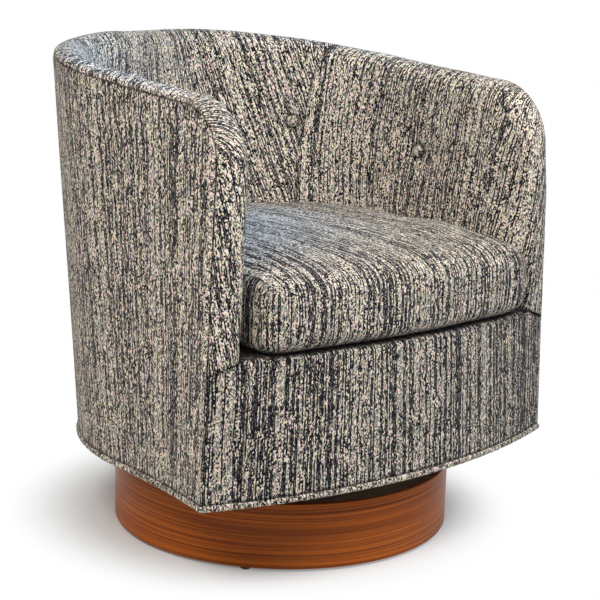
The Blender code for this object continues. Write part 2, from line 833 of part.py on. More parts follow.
def build_outer_cover(seat):
    """The cover of the outside back and arms, up to the outer seam."""
    shares = ARM_SHARES + SIDE_SHARES
    stations = wall_stations(shares, BACK_ANGLES)
    front = []
    back = []
    for row in range(2):
        for station in stations:
            z = station.seam() - GAP if row else COVER_BOTTOM
            outside = station.at(z)
            inside = station.at(z, COVER)
            edge = outline_at(z).front_y
            outside.y = max(outside.y, edge + GAP)
            inside.y = max(inside.y, edge + COVER + GAP + 0.2 * (inside.y - edge))
            front.append(outside)
            back.append(inside)
    thick_sheet("outer_cover", front, back, grid_quads(2, len(stations)), FABRIC, seat)


def mitre_height(inset):
    """Where the arm's roll meets the front rail: a slope down to the outer corner."""
    return SEAT_RAIL_HEIGHT - MITRE_DROP * max(0.0, 1 - inset / ROLL_WIDTH)


def build_front_cover(seat):
    """The cover of the front, rolled over the rail between the arms and mitred under their rolls."""
    o = outline_at(SEAT_RAIL_HEIGHT)
    edge = ROLL_WIDTH + ARM_SWELL + 2 * GAP
    limit = (o.half_front - edge) / o.half_front
    step = GAP * 2 / o.half_front
    middle = [limit * (i / 5 - 1) for i in range(11)]
    ends = [limit + step, (1 + limit) / 2, 1.0]
    shares = [-e for e in reversed(ends)] + middle + ends
    low = COVER_BOTTOM
    front = []
    back = []
    for share in shares:
        between = abs(share) <= limit + 1e-9
        top = SEAT_RAIL_HEIGHT if between else mitre_height((1 - abs(share)) * o.half_front)
        lip = RAIL_LIP if between else RAIL_ROLL + GAP
        corner = abs(share) == 1.0
        inner_radius = RAIL_ROLL - COVER
        path = [((0, low), (COVER, low)), ((0, top - RAIL_ROLL), (COVER, top - RAIL_ROLL))]
        for turn in (30, 60, 90):
            a = math.radians(turn)
            outer = (RAIL_ROLL * (1 - math.cos(a)), top - RAIL_ROLL * (1 - math.sin(a)))
            inner = (RAIL_ROLL - inner_radius * math.cos(a), top - RAIL_ROLL + inner_radius * math.sin(a))
            path.append((outer, inner))
        path.append(((lip, top), (lip, top - COVER)))
        for pair in path:
            for sheet, (depth, z) in zip((front, back), pair):
                mitre = 1 - (depth + GAP) / o.half_front if corner and depth > 0 else 1.0
                point = front_point(share * mitre, z, depth)
                if between:
                    point.x = share / limit * side_point(1, point.y, z, edge).x
                sheet.append(point)
    thick_sheet("front_cover", front, back, grid_quads(len(shares), 6), FABRIC, seat)


def roll_section():
    """Points across the roll in pairs: one on its outside, and one on the side against the frame.

    The outside is two quarter ellipses that meet at the crest: from the seam up, and on down into the
    lining. The other side runs down the outer cover, across under the padding and down the frame.
    """
    crest = ROLL_CREST * ROLL_WIDTH
    fall = ROLL_HEIGHT + ROLL_DEPTH
    outside = []
    for i in range(4):
        turn = math.radians(30 * i)
        outside.append(RollPoint(crest * (1 - math.cos(turn)), -ROLL_HEIGHT * math.sin(turn), True))
    for i in range(1, 6):
        turn = math.radians(18 * i)
        inset = crest + (ROLL_WIDTH - crest) * math.sin(turn)
        outside.append(RollPoint(inset, fall * (1 - math.cos(turn)) - ROLL_HEIGHT, i < 5))

    outer = COVER + 2 * GAP
    inner = ROLL_WIDTH - LINING
    inside = [RollPoint(outer + ROLL_EASE * i, LINING * i / 2, True) for i in range(3)]
    first = outer + 2 * ROLL_EASE
    last = inner - 5 * ROLL_EASE
    inside += [RollPoint(blend(first, last, i / 3), LINING, True) for i in (1, 2, 3)]
    for i in (1, 2, 3):
        inside.append(RollPoint(inner - ROLL_EASE * (3 - i), blend(LINING, ROLL_DEPTH, i / 3), i == 1))
    return list(zip(outside, inside))


def tuft_places():
    """Stations of the five covered buttons."""
    places = {
        "arm_left": Station(-1, share=ARM_BUTTON_SHARE),
        "back_left": Station(-1, angle=BACK_BUTTON_ANGLE),
        "back_middle": Station(1, angle=math.pi / 2),
        "back_right": Station(1, angle=BACK_BUTTON_ANGLE),
        "arm_right": Station(1, share=ARM_BUTTON_SHARE),
    }
    return places


def lining_inset(station, z):
    """How far in the lining's face lies: fuller towards the seat, and fuller on the back."""
    below = max(0.0, station.seam() - ROLL_DEPTH - z)
    fall = min(1.0, below / (BACK_SEAM_HEIGHT - SEAT_RAIL_HEIGHT))
    swell = ARM_SWELL
    if station.angle is not None:
        swell = blend(ARM_SWELL, BACK_SWELL, math.sin(station.angle) ** 2)
    full = swell * math.sin(fall * math.pi / 2)
    here = station.at(z, ROLL_WIDTH)
    sink = 0.0
    for tuft in tuft_places().values():
        there = tuft.at(tuft.seam() - BUTTON_DEPTH, ROLL_WIDTH)
        sink += TUFT_DEPTH * math.exp(-(((here - there).length / TUFT_REACH) ** 2) * 1.4)
    return ROLL_WIDTH + full - sink


def follow_bow(point, y, inset, weight):
    """Sets a point of an arm's front to its depth, drawn forward as the bowed front is."""
    share = point.x / outline_at(point.z).half_front
    point.y = y - weight * SEAT_RAIL_BOW * max(0.0, 1 - share * share)
    return point


def arm_front_point(sign, z, foot, across):
    """A point of the roll down an arm's front. It flattens towards its mitred foot on the front rail."""
    depth = across.depth
    if depth < 0:
        share = (z - SEAT_RAIL_HEIGHT) / (ARM_ROUND_HEIGHT - SEAT_RAIL_HEIGHT)
        depth *= blend(ROLL_LOW_SHARE, ROLL_FRONT_SHARE, min(1.0, share))
    y = outline_at(z).front_y + depth
    point = follow_bow(side_point(sign, y, z, across.inset), y, across.inset, 1.0)
    if foot and across.mitred:
        point.z = mitre_height(across.inset) + GAP
    return point


def arm_round_point(sign, turn, across):
    """A point of the roll where it turns from an arm's front to its top."""
    depth = across.depth
    if depth < 0:
        depth *= blend(ROLL_FRONT_SHARE, 1.0, math.sin(turn))
    radius = ARM_ROUND - depth
    y = outline_at(UPPER_HEIGHT).front_y + ARM_ROUND - radius * math.cos(turn)
    z = ARM_ROUND_HEIGHT + radius * math.sin(turn)
    return follow_bow(side_point(sign, y, z, across.inset), y, across.inset, math.cos(turn) ** 2)


def lining_heights(top):
    """Heights of the lining's rows: the first at the buttons, the last on the seat ring."""
    first = top - (BUTTON_DEPTH - ROLL_DEPTH)
    return [blend(first, LINING_BOTTOM, i / (LINING_ROWS - 1)) for i in range(LINING_ROWS)]


def lining_pair(station, z):
    inset = lining_inset(station, z)
    return station.at(z, inset), station.at(z, inset - LINING)


def arm_end_pair(sign, ahead, behind, z):
    """The lining's two points near an arm's end, at their distances from the front."""
    o = outline_at(z)
    upper = outline_at(UPPER_HEIGHT)
    inset = lining_inset(Station(sign, share=ahead / (upper.side_y - upper.front_y)), z)
    visible = side_point(sign, o.front_y + ahead, z, inset)
    hidden = side_point(sign, o.front_y + ahead, z, inset - LINING)
    visible.y = o.front_y + ahead
    hidden.y = o.front_y + behind
    return visible, hidden


def lining_columns(sign, section):
    """Columns of one half, from an arm's foot to the back: pairs over the roll, then down the lining."""
    columns = []
    front_rows = lining_heights(ARM_ROUND_HEIGHT)
    for z in reversed(front_rows):
        foot = z == front_rows[-1]
        roll = [tuple(arm_front_point(sign, z, foot, across) for across in pair) for pair in section]
        columns.append(Column(roll, []))
    for step in range(ARM_STEPS + 1):
        turn = math.pi / 2 * step / ARM_STEPS
        roll = [tuple(arm_round_point(sign, turn, across) for across in pair) for pair in section]
        visible, hidden = roll[-1]
        front_y = outline_at(visible.z).front_y
        heights = lining_heights(visible.z)
        face = [arm_end_pair(sign, visible.y - front_y, hidden.y - front_y, z) for z in heights]
        columns.append(Column(roll, face))
    stations = [Station(sign, share=s) for s in SIDE_SHARES]
    stations += [Station(sign, angle=a) for a in BACK_ANGLES]
    for station in stations:
        seam = station.seam()
        roll = [tuple(station.at(seam - p.depth, p.inset) for p in pair) for pair in section]
        face = [lining_pair(station, z) for z in lining_heights(seam - ROLL_DEPTH)]
        columns.append(Column(roll, face))
    return columns


def build_tub_lining(seat):
    """The padded inside: a roll along the arms and back, down each arm's front, and the lining."""
    section = roll_section()
    columns = lining_columns(-1, section) + lining_columns(1, section)[-2::-1]
    size = len(section)
    total = len(columns)
    pairs = [pair for column in columns for pair in column.roll]
    quads = grid_quads(total, size)

    def roll_end(index):
        return index * size + size - 1

    grid = []
    for index in range(LINING_ROWS, total - LINING_ROWS):
        names = [roll_end(index)]
        if index == LINING_ROWS:
            names += [roll_end(index - 1 - row) for row in range(LINING_ROWS)]
        elif index == total - LINING_ROWS - 1:
            names += [roll_end(index + 1 + row) for row in range(LINING_ROWS)]
        else:
            names += range(len(pairs), len(pairs) + LINING_ROWS)
            pairs += columns[index].face
        grid.append(names)
    for first, second in zip(grid, grid[1:]):
        for row in range(LINING_ROWS):
            quads.append((first[row], second[row], second[row + 1], first[row + 1]))
    front = [visible for visible, _ in pairs]
    back = [hidden for _, hidden in pairs]
    lining = thick_sheet("tub_lining", front, back, quads, FABRIC, seat)
    build_buttons(lining, seat)


def build_buttons(lining, seat):
    """Covered buttons, each pulled into a round seat in the lining."""
    for name, station in tuft_places().items():
        z = station.seam() - BUTTON_DEPTH
        place = station.at(z, lining_inset(station, z))
        outward = (station.at(z, 0.0) - station.at(z, ROLL_WIDTH)).normalized()
        turn = Vector((0, 0, 1)).rotation_difference(-outward)
        floor = place + outward * BUTTON_SINK
        radius = BUTTON_RADIUS
        height = BUTTON_HEIGHT
        button = turned(
            f"button_{name}",
            [
                (0, height),
                (radius * 0.45, height * 0.92),
                (radius * 0.80, height * 0.66),
                (radius, height * 0.25),
                (radius * 0.95, GAP),
                (0, GAP),
            ],
            14, FABRIC, seat, closed=False,
        )
        recess = cylinder(f"seat_of_{name}", radius + GAP, 0, 4 * height, 14, seat)
        for obj in (button, recess):
            obj.rotation_mode = "QUATERNION"
            obj.rotation_quaternion = turn
            obj.location = floor
        cut(lining, recess)


def build_welt(seat):
    """The piping round the bottom edge of the covers."""
    z = BODY_BOTTOM + WELT_RADIUS
    loop = tub_loop(z, lambda station, height: 0.0, 0.0)
    curve = bpy.data.curves.new("bottom_welt", "CURVE")
    curve.dimensions = "3D"
    spline = curve.splines.new("POLY")
    spline.points.add(len(loop) - 1)
    for point, place in zip(spline.points, loop):
        point.co = (*place, 1.0)
    spline.use_cyclic_u = True
    curve.bevel_depth = WELT_RADIUS
    curve.bevel_resolution = 1
    add_object("bottom_welt", curve, FABRIC, seat)


# Seat cushion

def cushion_front(share, inset, swell):
    """The depth of the cushion's front, which bows less than the rail under it."""
    ahead = CUSHION_OVERHANG + CUSHION_SQUARE * share * share + swell - inset
    return front_point(share, SEAT_RAIL_HEIGHT, -ahead).y


def cushion_outline(z, inset, swell):
    """The cushion's outline: close to the lining all round, with a bowed front and round corners."""
    stations = wall_stations([0.3, 0.65, 0.9], BACK_ANGLES)
    wall = [s.at(z, lining_inset(s, z) + CUSHION_CLEAR + inset) for s in stations]
    o = outline_at(z)
    side_x = abs(wall[0].x) + (abs(wall[0].x) - abs(wall[1].x)) * 0.3
    share = side_x / o.half_front
    corner_y = cushion_front(share, inset, swell)
    radius = CUSHION_CORNER
    centre = Vector((side_x - radius, corner_y + radius, z))
    arc = []
    for i in range(4):
        turn = math.radians(80 * i / 3)
        arc.append(centre + Vector((radius * math.cos(turn), -radius * math.sin(turn), 0)))
    left = [Vector((-p.x, p.y, z)) for p in reversed(arc)]
    reach = abs(arc[-1].x) / o.half_front
    front = []
    for i in range(1, 8):
        along = reach * (1 - i / 4)
        front.append(Vector((along * o.half_front, cushion_front(along, inset, swell), z)))
    return left + wall + arc + front


def build_cushion(parent):
    """The loose seat cushion: a flat underside, drawn-in sides and a crowned top."""
    bottom = CUSHION_BOTTOM
    edge = bottom + CUSHION_HEIGHT
    middle = (bottom + edge) / 2
    heel = CUSHION_HEEL
    roll = CUSHION_ROLL
    steps = [
        (heel, 0.0, bottom), (heel * 0.3, 0.2, bottom + heel * 0.35), (0.0, 0.5, bottom + heel),
        (CUSHION_DRAW_IN, 1.0, middle), (0.04 * roll, 0.6, edge - roll * 0.75),
        (0.30 * roll, 0.2, edge - roll * 0.30), (roll, 0.0, edge),
    ]
    loops = [cushion_outline(z, inset, share * CUSHION_SWELL) for inset, share, z in steps]
    rim = loops[-1]
    centre = sum(rim, Vector()) / len(rim)
    for scale in (0.82, 0.62, 0.42, 0.22, 0.06):
        rise = CUSHION_CROWN * (1 - scale * scale)
        loops.append([
            Vector((blend(centre.x, p.x, scale), blend(centre.y, p.y, scale), edge + rise)) for p in rim
        ])
    loft("seat_cushion", loops, FABRIC, parent)


def clear_scene():
    for obj in list(bpy.data.objects):
        bpy.data.objects.remove(obj, do_unlink=True)


def add_empty(name, location):
    empty = bpy.data.objects.new(name, None)
    bpy.context.scene.collection.objects.link(empty)
    empty.location = location
    return empty


def axis_depth():
    """Where the swivel's axis lies, so that the chair's box is centred on the origin."""
    front = min(
        front_point(0, BODY_BOTTOM + WELT_RADIUS).y - WELT_RADIUS,
        cushion_front(0, CUSHION_DRAW_IN, CUSHION_SWELL),
    )
    back = Station(1, angle=math.pi / 2)
    return -(front + back.at(back.seam()).y) / 2


def main():
    clear_scene()
    axis = (0.0, axis_depth(), 0.0)
    base = add_empty("base_axis", axis)
    seat = add_empty("swivel_axis", axis)
    cushion = add_empty("cushion_place", axis)
    wall = build_drum(base)
    build_glides(base, wall)
    build_swivel(base, seat)
    build_base_board(seat)
    build_seat_ring(seat)
    build_top_rail(seat)
    build_posts(seat)
    build_front_board(seat)
    build_springs(seat)
    build_deck(seat)
    build_outer_cover(seat)
    build_front_cover(seat)
    build_tub_lining(seat)
    build_welt(seat)
    build_cushion(cushion)


if __name__ == "__main__":
    main()
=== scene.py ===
"""Dresses the swivel tub chair: tweed covers, padded lining, loose cushion and walnut drum.

Every cloth surface follows the same outline as the solids under it. A place along the wall is given
by t, from -2 at the left arm's front through 0 at the middle of the back to 2 at the right arm's
front. Sizes are in metres and the chair's front faces -Y.
"""

import math
from contextlib import contextmanager
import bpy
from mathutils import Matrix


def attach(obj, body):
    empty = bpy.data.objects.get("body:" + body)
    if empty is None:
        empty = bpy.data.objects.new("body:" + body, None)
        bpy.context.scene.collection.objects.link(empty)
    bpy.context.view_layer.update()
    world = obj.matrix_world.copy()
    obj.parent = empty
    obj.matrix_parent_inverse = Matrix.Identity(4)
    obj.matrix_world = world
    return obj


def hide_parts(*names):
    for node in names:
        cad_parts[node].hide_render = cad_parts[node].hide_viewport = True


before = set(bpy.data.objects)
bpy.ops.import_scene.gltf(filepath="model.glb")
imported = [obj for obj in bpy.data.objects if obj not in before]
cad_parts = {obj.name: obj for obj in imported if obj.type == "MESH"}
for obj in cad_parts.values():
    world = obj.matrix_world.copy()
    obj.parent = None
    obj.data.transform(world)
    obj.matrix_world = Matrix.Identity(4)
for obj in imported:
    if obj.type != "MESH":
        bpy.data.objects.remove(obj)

from types import SimpleNamespace

import bmesh
import bpy
import numpy as np
from bpy.props import FloatProperty, FloatVectorProperty, PointerProperty
from mathutils import Matrix

bl_info = {
    "name": "Swivel tub chair",
    "version": (1, 0, 0),
    "blender": (4, 5, 0),
    "location": "View3D > Sidebar > Tub chair",
    "description": "Dresses a swivel tub chair in tweed and walnut",
    "category": "Object",
}

PI = math.pi

# Sizes of the solids that the pieces follow
AXIS_Y = -0.050801
GAP = 0.0003
DRUM_RADIUS = 0.2648
DRUM_BOTTOM = 0.004
DRUM_TOP = 0.1038
DRUM_WALL = 0.018
DRUM_LIP = 0.009
DRUM_LEDGE = 0.0825
BODY_BOTTOM = 0.1375
COVER_BOTTOM = 0.1468
WELT_RADIUS = 0.0045
BOTTOM = dict(half_front=0.3409, front_y=-0.2382, half_side=0.3218, side_y=-0.0077, depth=0.3343)
UPPER = dict(half_front=0.3238, front_y=-0.2368, half_side=0.3176, side_y=0.0577, depth=0.3324)
BOTTOM_BOW = 0.0620
RAIL_BOW = 0.0533
UPPER_HEIGHT = 0.613
RAIL_HEIGHT = 0.3443
ARM_SEAM_HEIGHT = 0.6815
BACK_SEAM_HEIGHT = 0.7328
SEAM_RISE_POWER = 1.2
ARM_ROUND = 0.0806
ARM_ROUND_HEIGHT = ARM_SEAM_HEIGHT - ARM_ROUND
COVER = 0.006
ROLL_WIDTH = 0.053
ROLL_HEIGHT = 0.012
ROLL_DEPTH = 0.024
ROLL_CREST = 0.48
ROLL_LOW_SHARE = 0.30
ROLL_FRONT_SHARE = 0.65
LINING_BOTTOM = 0.3183
BACK_SWELL = 0.016
ARM_SWELL = 0.003
MITRE_DROP = 0.018
RAIL_ROLL = 0.008
RAIL_LIP = 0.045
MITRE_ROLL = 0.0025
FRONT_PINCH = 0.003
BUTTON_RADIUS = 0.0115
BUTTON_DEPTH = 0.125
TUFT_DEPTH = 0.007
TUFT_REACH = 0.055
PANEL_T = 5 / 9
TUFT_PLACES = {
    "arm_left": -1.2, "back_left": -PANEL_T, "back_middle": 0.0, "back_right": PANEL_T, "arm_right": 1.2,
}
DECK_BOTTOM = 0.3277
DUST_COVER_Z = 0.1403
CUSHION_BOTTOM = 0.3446
CUSHION_HEIGHT = 0.112
CUSHION_CROWN = 0.020
CUSHION_CLEAR = 0.003
CUSHION_OVERHANG = 0.009
CUSHION_SQUARE = 0.012
CUSHION_SWELL = 0.006
CUSHION_CORNER = 0.024

# Sizes of the sewing and padding that the scene adds
PROUD = 0.001  # how far the covers stand out, so that Solidify fills the solids' covers
CREASE_REACH = 0.0028
GATHER_STEP = 0.011
SEWN_WIDTH = 0.0016
HEM_SHADE = (0.7, 0.0022)  # darkness and width of the painted shade line above the welt
MITRE_LINE = 0.0026
BUTTON_PIT = (0.006, 0.015)  # depth and reach of the pit right at a button
ARM_LEAN = 0.008
RIM_LIFT = 0.0045
COVER_WAVE = 0.0006
UNEVEN = 0.0005
BEAD_WIDTH = 0.011
BEAD_PROUD = 0.0011
BEAD_SUNK = 0.005
BEAD_FLAT = 0.14
BUTTON_SHADE_RING = (0.98, 0.0036)  # darkness and width of the painted shade round a button
DECK_GAP = 0.0015
DUST_COVER_EDGE = 0.0088
SAG = 0.0006
CUSHION_SHARES = (0.9, 0.78, 0.64, 0.5, 0.36, 0.22, 0.1, 0.02)
CUSHION_CORNER_Y = -0.305
REMESH = dict(mode="VOXEL", voxel_size=0.0062, use_smooth_shade=True)
CLOTH = dict(
    quality=5, mass=0.3, tension_stiffness=15, compression_stiffness=15, shear_stiffness=5,
    bending_stiffness=0.6, use_pressure=True,
)
CLOTH_FRAMES = 20
LEAST_CAP = 0.003  # how far the filling may move the cushion's lower points

# Each tweed's contrast, shade, and how far its pattern is moved. The shade makes some pieces' yarns lighter
# and others darker: painted light and shade on one cloth.
TWEEDS = {
    "tweed_outside": (1.15, 1.08, 0.0), "tweed_front": (1.7, 0.98, 1.7), "tweed_lining": (1.1, 1.08, 3.1),
    "tweed_bead": (0.75, 1.25, 6.1), "tweed_button": (0.5, 0.9, 5.3), "tweed_welt": (0.7, 1.0, 7.7),
    "tweed_cushion": (1.55, 1.03, 9.2),
}

# Lights: place, target, disc's width or 0 for a spot, colour
LAMPS = {
    "key": ((-2.1, -0.85, 2.4), (0.0, 0.0, 0.45), 1.4, (1.0, 0.95, 0.88)),
    "top": ((0.15, -0.95, 1.45), (0.0, 0.15, 0.50), 1.1, (0.95, 0.985, 1.0)),
    "rim": ((1.5, -0.10, 2.5), (-0.20, 0.04, 0.57), 0.0, (0.22, 0.54, 1.0)),
}
FILL_COLOUR = (0.92, 0.97, 1.0)
SPOT = dict(spot_size=math.radians(17), spot_blend=1.0, shadow_soft_size=0.10)
CAMERA = dict(yaw=0.71091, pitch=0.21413, roll=0.02951, place=(-1.56494, -1.90263, 0.87554))
LENS = dict(lens=94.77, sensor_width=36.0, clip_start=0.05, clip_end=200.0)
FLOOR_REACH = 40.0
FLOOR_FADE = (0.24, 0.42)  # from here to here the floor turns to white
WHITE = (1.0, 1.0, 1.0)


def colour_property(name, description, default):
    """A colour that a user would change."""
    return FloatVectorProperty(
        name=name, description=description, default=default, size=3, min=0.0, max=1.0, subtype="COLOR"
    )


def length_property(name, description, default, most=1.0):
    """A length in metres that a user would change."""
    return FloatProperty(
        name=name, description=description, default=default, min=0.0, max=most, precision=4,
        subtype="DISTANCE", unit="LENGTH",
    )


def strength_property(name, description, default, **limits):
    """A power or strength that a user would change."""
    return FloatProperty(name=name, description=description, default=default, min=0.0, **limits)


class TweedProperties(bpy.types.PropertyGroup):
    """The tweed that covers the chair."""

    pale: colour_property("Pale yarn", "Lightest yarn", (0.91, 0.855, 0.72))
    middle: colour_property("Ground", "Ground colour between pale and dark", (0.175, 0.152, 0.124))
    dark: colour_property("Dark yarn", "Dark streaks", (0.004, 0.006, 0.014))
    yarn: length_property("Yarn width", "Width of one thin yarn", 0.0016, 0.01)
    slub: length_property("Slub width", "Width of one thick yarn", 0.0023, 0.02)
    streak: length_property("Streak length", "Usual length of a dark streak", 0.034, 0.2)


class PaddingProperties(bpy.types.PropertyGroup):
    """How the padding stands, pulls in and creases."""

    crease: length_property("Seam crease", "Depth of the crease along a seam", 0.0016, 0.01)
    pucker: length_property("Pucker", "Height of the small gathers along a seam", 0.0005, 0.01)
    fold: length_property("Button folds", "Height of the folds that run to a button", 0.0011, 0.01)
    crown: length_property("Cushion lift", "Most that the filling may lift the cushion", 0.007, 0.05)
    pressure: strength_property("Cushion filling", "Pressure inside the cushion's cover", 4.0, max=20.0)


class WoodProperties(bpy.types.PropertyGroup):
    """The walnut of the drum."""

    light: colour_property("Light grain", "Colour between the growth lines", (0.58, 0.145, 0.017))
    deep: colour_property("Dark grain", "Colour of the growth lines", (0.15, 0.030, 0.005))
    polish: strength_property("Polish", "Strength of the oiled finish", 0.02, max=1.0, subtype="FACTOR")


class StageProperties(bpy.types.PropertyGroup):
    """The studio."""

    floor: colour_property("Floor", "Colour of the floor", (0.82, 0.82, 0.82))
    key: strength_property("Key light", "Power of the main light", 52.0)
    fill: strength_property("Fill light", "Strength of the light all round", 0.27)
    top: strength_property("Top light", "Power of the broad light above the seat", 15.5)
    rim: strength_property("Rim light", "Power of the cool light from the side", 360.0)


# Outline of the tub

def blend(a, b, t):
    """A straight change from a at 0 to b at 1."""
    return a + (b - a) * t


def smooth(low, high, x):
    """A smooth step from 0 at low to 1 at high."""
    t = np.clip((x - low) / (high - low), 0, 1)
    return t * t * (3 - 2 * t)


def bell(distance, width=SEWN_WIDTH):
    """A bell, 1 at no distance: e to the power of minus the square of distance over width. It says how
    dark the cloth is beside a sewn line."""
    return np.exp(-((distance / width) ** 2))


def unit(vectors):
    """The same directions, each with a length of 1."""
    return vectors / np.linalg.norm(vectors, axis=-1, keepdims=True)


def pair(u, v):
    """Stacks two arrays of any fitting shapes into a map."""
    return np.stack(np.broadcast_arrays(u, v), -1)


def outline(z):
    """The outline's sizes at heights z: a straight change from the bottom edge to the upper height."""
    t = (z - BODY_BOTTOM) / (UPPER_HEIGHT - BODY_BOTTOM)
    s = np.minimum((z - BODY_BOTTOM) / (RAIL_HEIGHT - BODY_BOTTOM), 1.0)
    sizes = {name: blend(low, UPPER[name], t) for name, low in BOTTOM.items()}
    return SimpleNamespace(bow=blend(BOTTOM_BOW, RAIL_BOW, s), **sizes)


TOP = outline(UPPER_HEIGHT)
ARM_RUN = TOP.side_y - TOP.front_y


def side(y, z, inset):
    """Points on the right side at depth y: a parabola that widens to the front, moved in by the inset."""
    o = outline(z)
    run = o.side_y - o.front_y
    behind = (o.side_y - y) / run
    x = o.half_side + (o.half_front - o.half_side) * behind**2
    slope = -2 * (o.half_front - o.half_side) * behind / run
    length = np.hypot(1, slope)
    return x - inset / length, y + inset * slope / length


def back(angle, z, inset):
    """Points on the back's half ellipse, moved in along its normal by the inset."""
    o = outline(z)
    nx, ny = np.cos(angle) / o.half_side, np.sin(angle) / o.depth
    size = np.hypot(nx, ny)
    x = o.half_side * np.cos(angle) - inset * nx / size
    return x, o.side_y + o.depth * np.sin(angle) - inset * ny / size


def point(x, y, z):
    """Stacks x, y from the swivel's axis and z into places in the chair's frame."""
    x, y, z = np.broadcast_arrays(x, y, z)
    return np.stack([x, y + AXIS_Y, z], -1)


def wall(t, z, inset=0.0):
    """The wall's surface at t and z: the side's parabola where |t| is over 1, else the back's ellipse."""
    t, z, inset = np.broadcast_arrays(t, z, inset)
    reach = np.abs(t)
    o = outline(z)
    sx, sy = side(blend(o.front_y, o.side_y, np.clip(2 - reach, 0, 1)), z, inset)
    bx, by = back((1 - np.minimum(reach, 1)) * PI / 2, z, inset)
    on_back = reach < 1
    return point(np.where(on_back, bx, sx) * np.where(t < 0, -1, 1), np.where(on_back, by, sy), z)


def settled(points):
    """Leans the upper front of the right arm in and lifts the right rim, as the padding there has
    settled: smooth steps in x, y and z."""
    x, y, z = np.moveaxis(points, -1, 0)
    lean = ARM_LEAN * smooth(0.50, 0.63, z) * smooth(0.10, 0.30, x) * smooth(-0.12, -0.27, y)
    lift = RIM_LIFT * smooth(0.62, 0.72, z) * smooth(-0.06, 0.14, x)
    return np.stack([x - lean, y, z + lift], -1)


def seam_at(t):
    """Height of the outer seam: a quarter round at the arm's front, then a rise to the back by a power.
    The wall's place depends on the height, so it is worked out in eight rounds."""
    start = TOP.front_y + ARM_ROUND
    z = np.full(np.shape(t), ARM_SEAM_HEIGHT)
    for _ in range(8):
        y = wall(t, z)[..., 1] - AXIS_Y
        rise = np.clip((y - start) / (TOP.side_y + TOP.depth - start), 0, 1)
        ahead = np.clip((start - y) / ARM_ROUND, 0, 1)
        z = blend(ARM_SEAM_HEIGHT, BACK_SEAM_HEIGHT, rise**SEAM_RISE_POWER)
        z = z - ARM_ROUND * (1 - np.sqrt(1 - ahead**2))
    return z


def front(share, z, depth=0.0):
    """The bowed front at a share of its half width: a parabola forward, moved back by the depth."""
    o = outline(z)
    return share * o.half_front, o.front_y - o.bow * (1 - share**2) + depth


def along(points):
    """Distance along a row of points, from its first."""
    steps = np.linalg.norm(np.diff(points, axis=0), axis=-1)
    return np.concatenate([[0], np.cumsum(steps)])


WALL_T = np.linspace(-2, 2, 801)
WALL_S = along(wall(WALL_T, 0.55, ROLL_WIDTH))
WALL_S -= WALL_S[400]


def girth(t):
    """Distance round the inside of the wall from the middle of the back."""
    return np.interp(t, WALL_T, WALL_S)


PANEL_S = girth(PANEL_T)
TUFT_T = np.array(list(TUFT_PLACES.values()))
TUFT_Z = seam_at(TUFT_T) - BUTTON_DEPTH
TUFTS = wall(TUFT_T, TUFT_Z, ROLL_WIDTH)


def lining_inset(t, z):
    """How far in the lining lies: a quarter sine of swell towards the seat, less a wide and a narrow
    bell round each button."""
    below = np.maximum(0.0, seam_at(t) - ROLL_DEPTH - z)
    fall = np.minimum(1.0, below / (BACK_SEAM_HEIGHT - RAIL_HEIGHT))
    angle = (1 - np.minimum(np.abs(t), 1)) * PI / 2
    swell = blend(ARM_SWELL, BACK_SWELL, np.sin(angle) ** 2)
    here = wall(t, z, ROLL_WIDTH)
    pit, reach = BUTTON_PIT
    sink = 0.0
    for there in TUFTS:
        far = np.linalg.norm(here - there, axis=-1) / TUFT_REACH
        sink = sink + TUFT_DEPTH * np.exp(-1.4 * far**2) + pit * bell(far * TUFT_REACH, reach)
    return ROLL_WIDTH + swell * np.sin(fall * PI / 2) - sink


def mitre_height(inset):
    """Where an arm's roll meets the front rail: a straight slope down to the outer corner."""
    return RAIL_HEIGHT - MITRE_DROP * np.maximum(0.0, 1 - inset / ROLL_WIDTH)


# Meshes

def read(items, name, width=1, kind=np.float32):
    """A value of every item as an array, with a row for each item where it has more than one number."""
    values = np.empty(len(items) * width, kind)
    items.foreach_get(name, values)
    return values.reshape(-1, width) if width > 1 else values


def write(items, name, values):
    """Gives every item its value from an array."""
    items.foreach_set(name, np.asarray(values, np.float32).ravel())


def assign(item, **values):
    """Sets several values of an item and gives it back."""
    for name, value in values.items():
        setattr(item, name, value)
    return item


def link(name, mesh, material=None):
    """Puts a mesh into the scene as an object at the origin."""
    obj = bpy.data.objects.new(name, mesh)
    bpy.context.scene.collection.objects.link(obj)
    if material:
        mesh.materials.append(material)
    return obj


def add_seam_and_shade(mesh, seam):
    """Says how near each point is to a sewn line, from 0 to 1."""
    write(mesh.attributes.new("Seam", "FLOAT", "POINT").data, "value", seam)


def surface(name, points, quads, material=None, weave=None, seam=None):
    """A smooth object from a grid of points and the quads that number them. The weave's map in metres is
    given at each point, or at each corner of each quad."""
    mesh = bpy.data.meshes.new(name)
    points, quads = np.asarray(points).reshape(-1, 3), np.asarray(quads, np.int32)
    mesh.vertices.add(len(points))
    write(mesh.vertices, "co", points)
    mesh.loops.add(quads.size)
    mesh.loops.foreach_set("vertex_index", quads.ravel())
    mesh.polygons.add(len(quads))
    mesh.polygons.foreach_set("loop_start", np.arange(0, quads.size, 4, dtype=np.int32))
    mesh.update(calc_edges=True)
    if weave is not None:
        if weave.shape[:2] != quads.shape:
            weave = weave.reshape(-1, 2)[quads]
        write(mesh.uv_layers.new(name="Weave").data, "uv", weave)
    if seam is not None:
        add_seam_and_shade(mesh, seam)
    mesh.validate()
    mesh.shade_smooth()
    return link(name, mesh, material)


def grid(rows, columns, wrap=False):
    """Quads of a grid of numbered points. With wrap the last column joins the first."""
    numbers = np.arange(rows * columns).reshape(rows, columns)
    if wrap:
        numbers = np.concatenate([numbers, numbers[:, :1]], 1)
    a, b, c, d = numbers[:-1, :-1], numbers[:-1, 1:], numbers[1:, 1:], numbers[1:, :-1]
    return np.stack([a, b, c, d], -1).reshape(-1, 4)


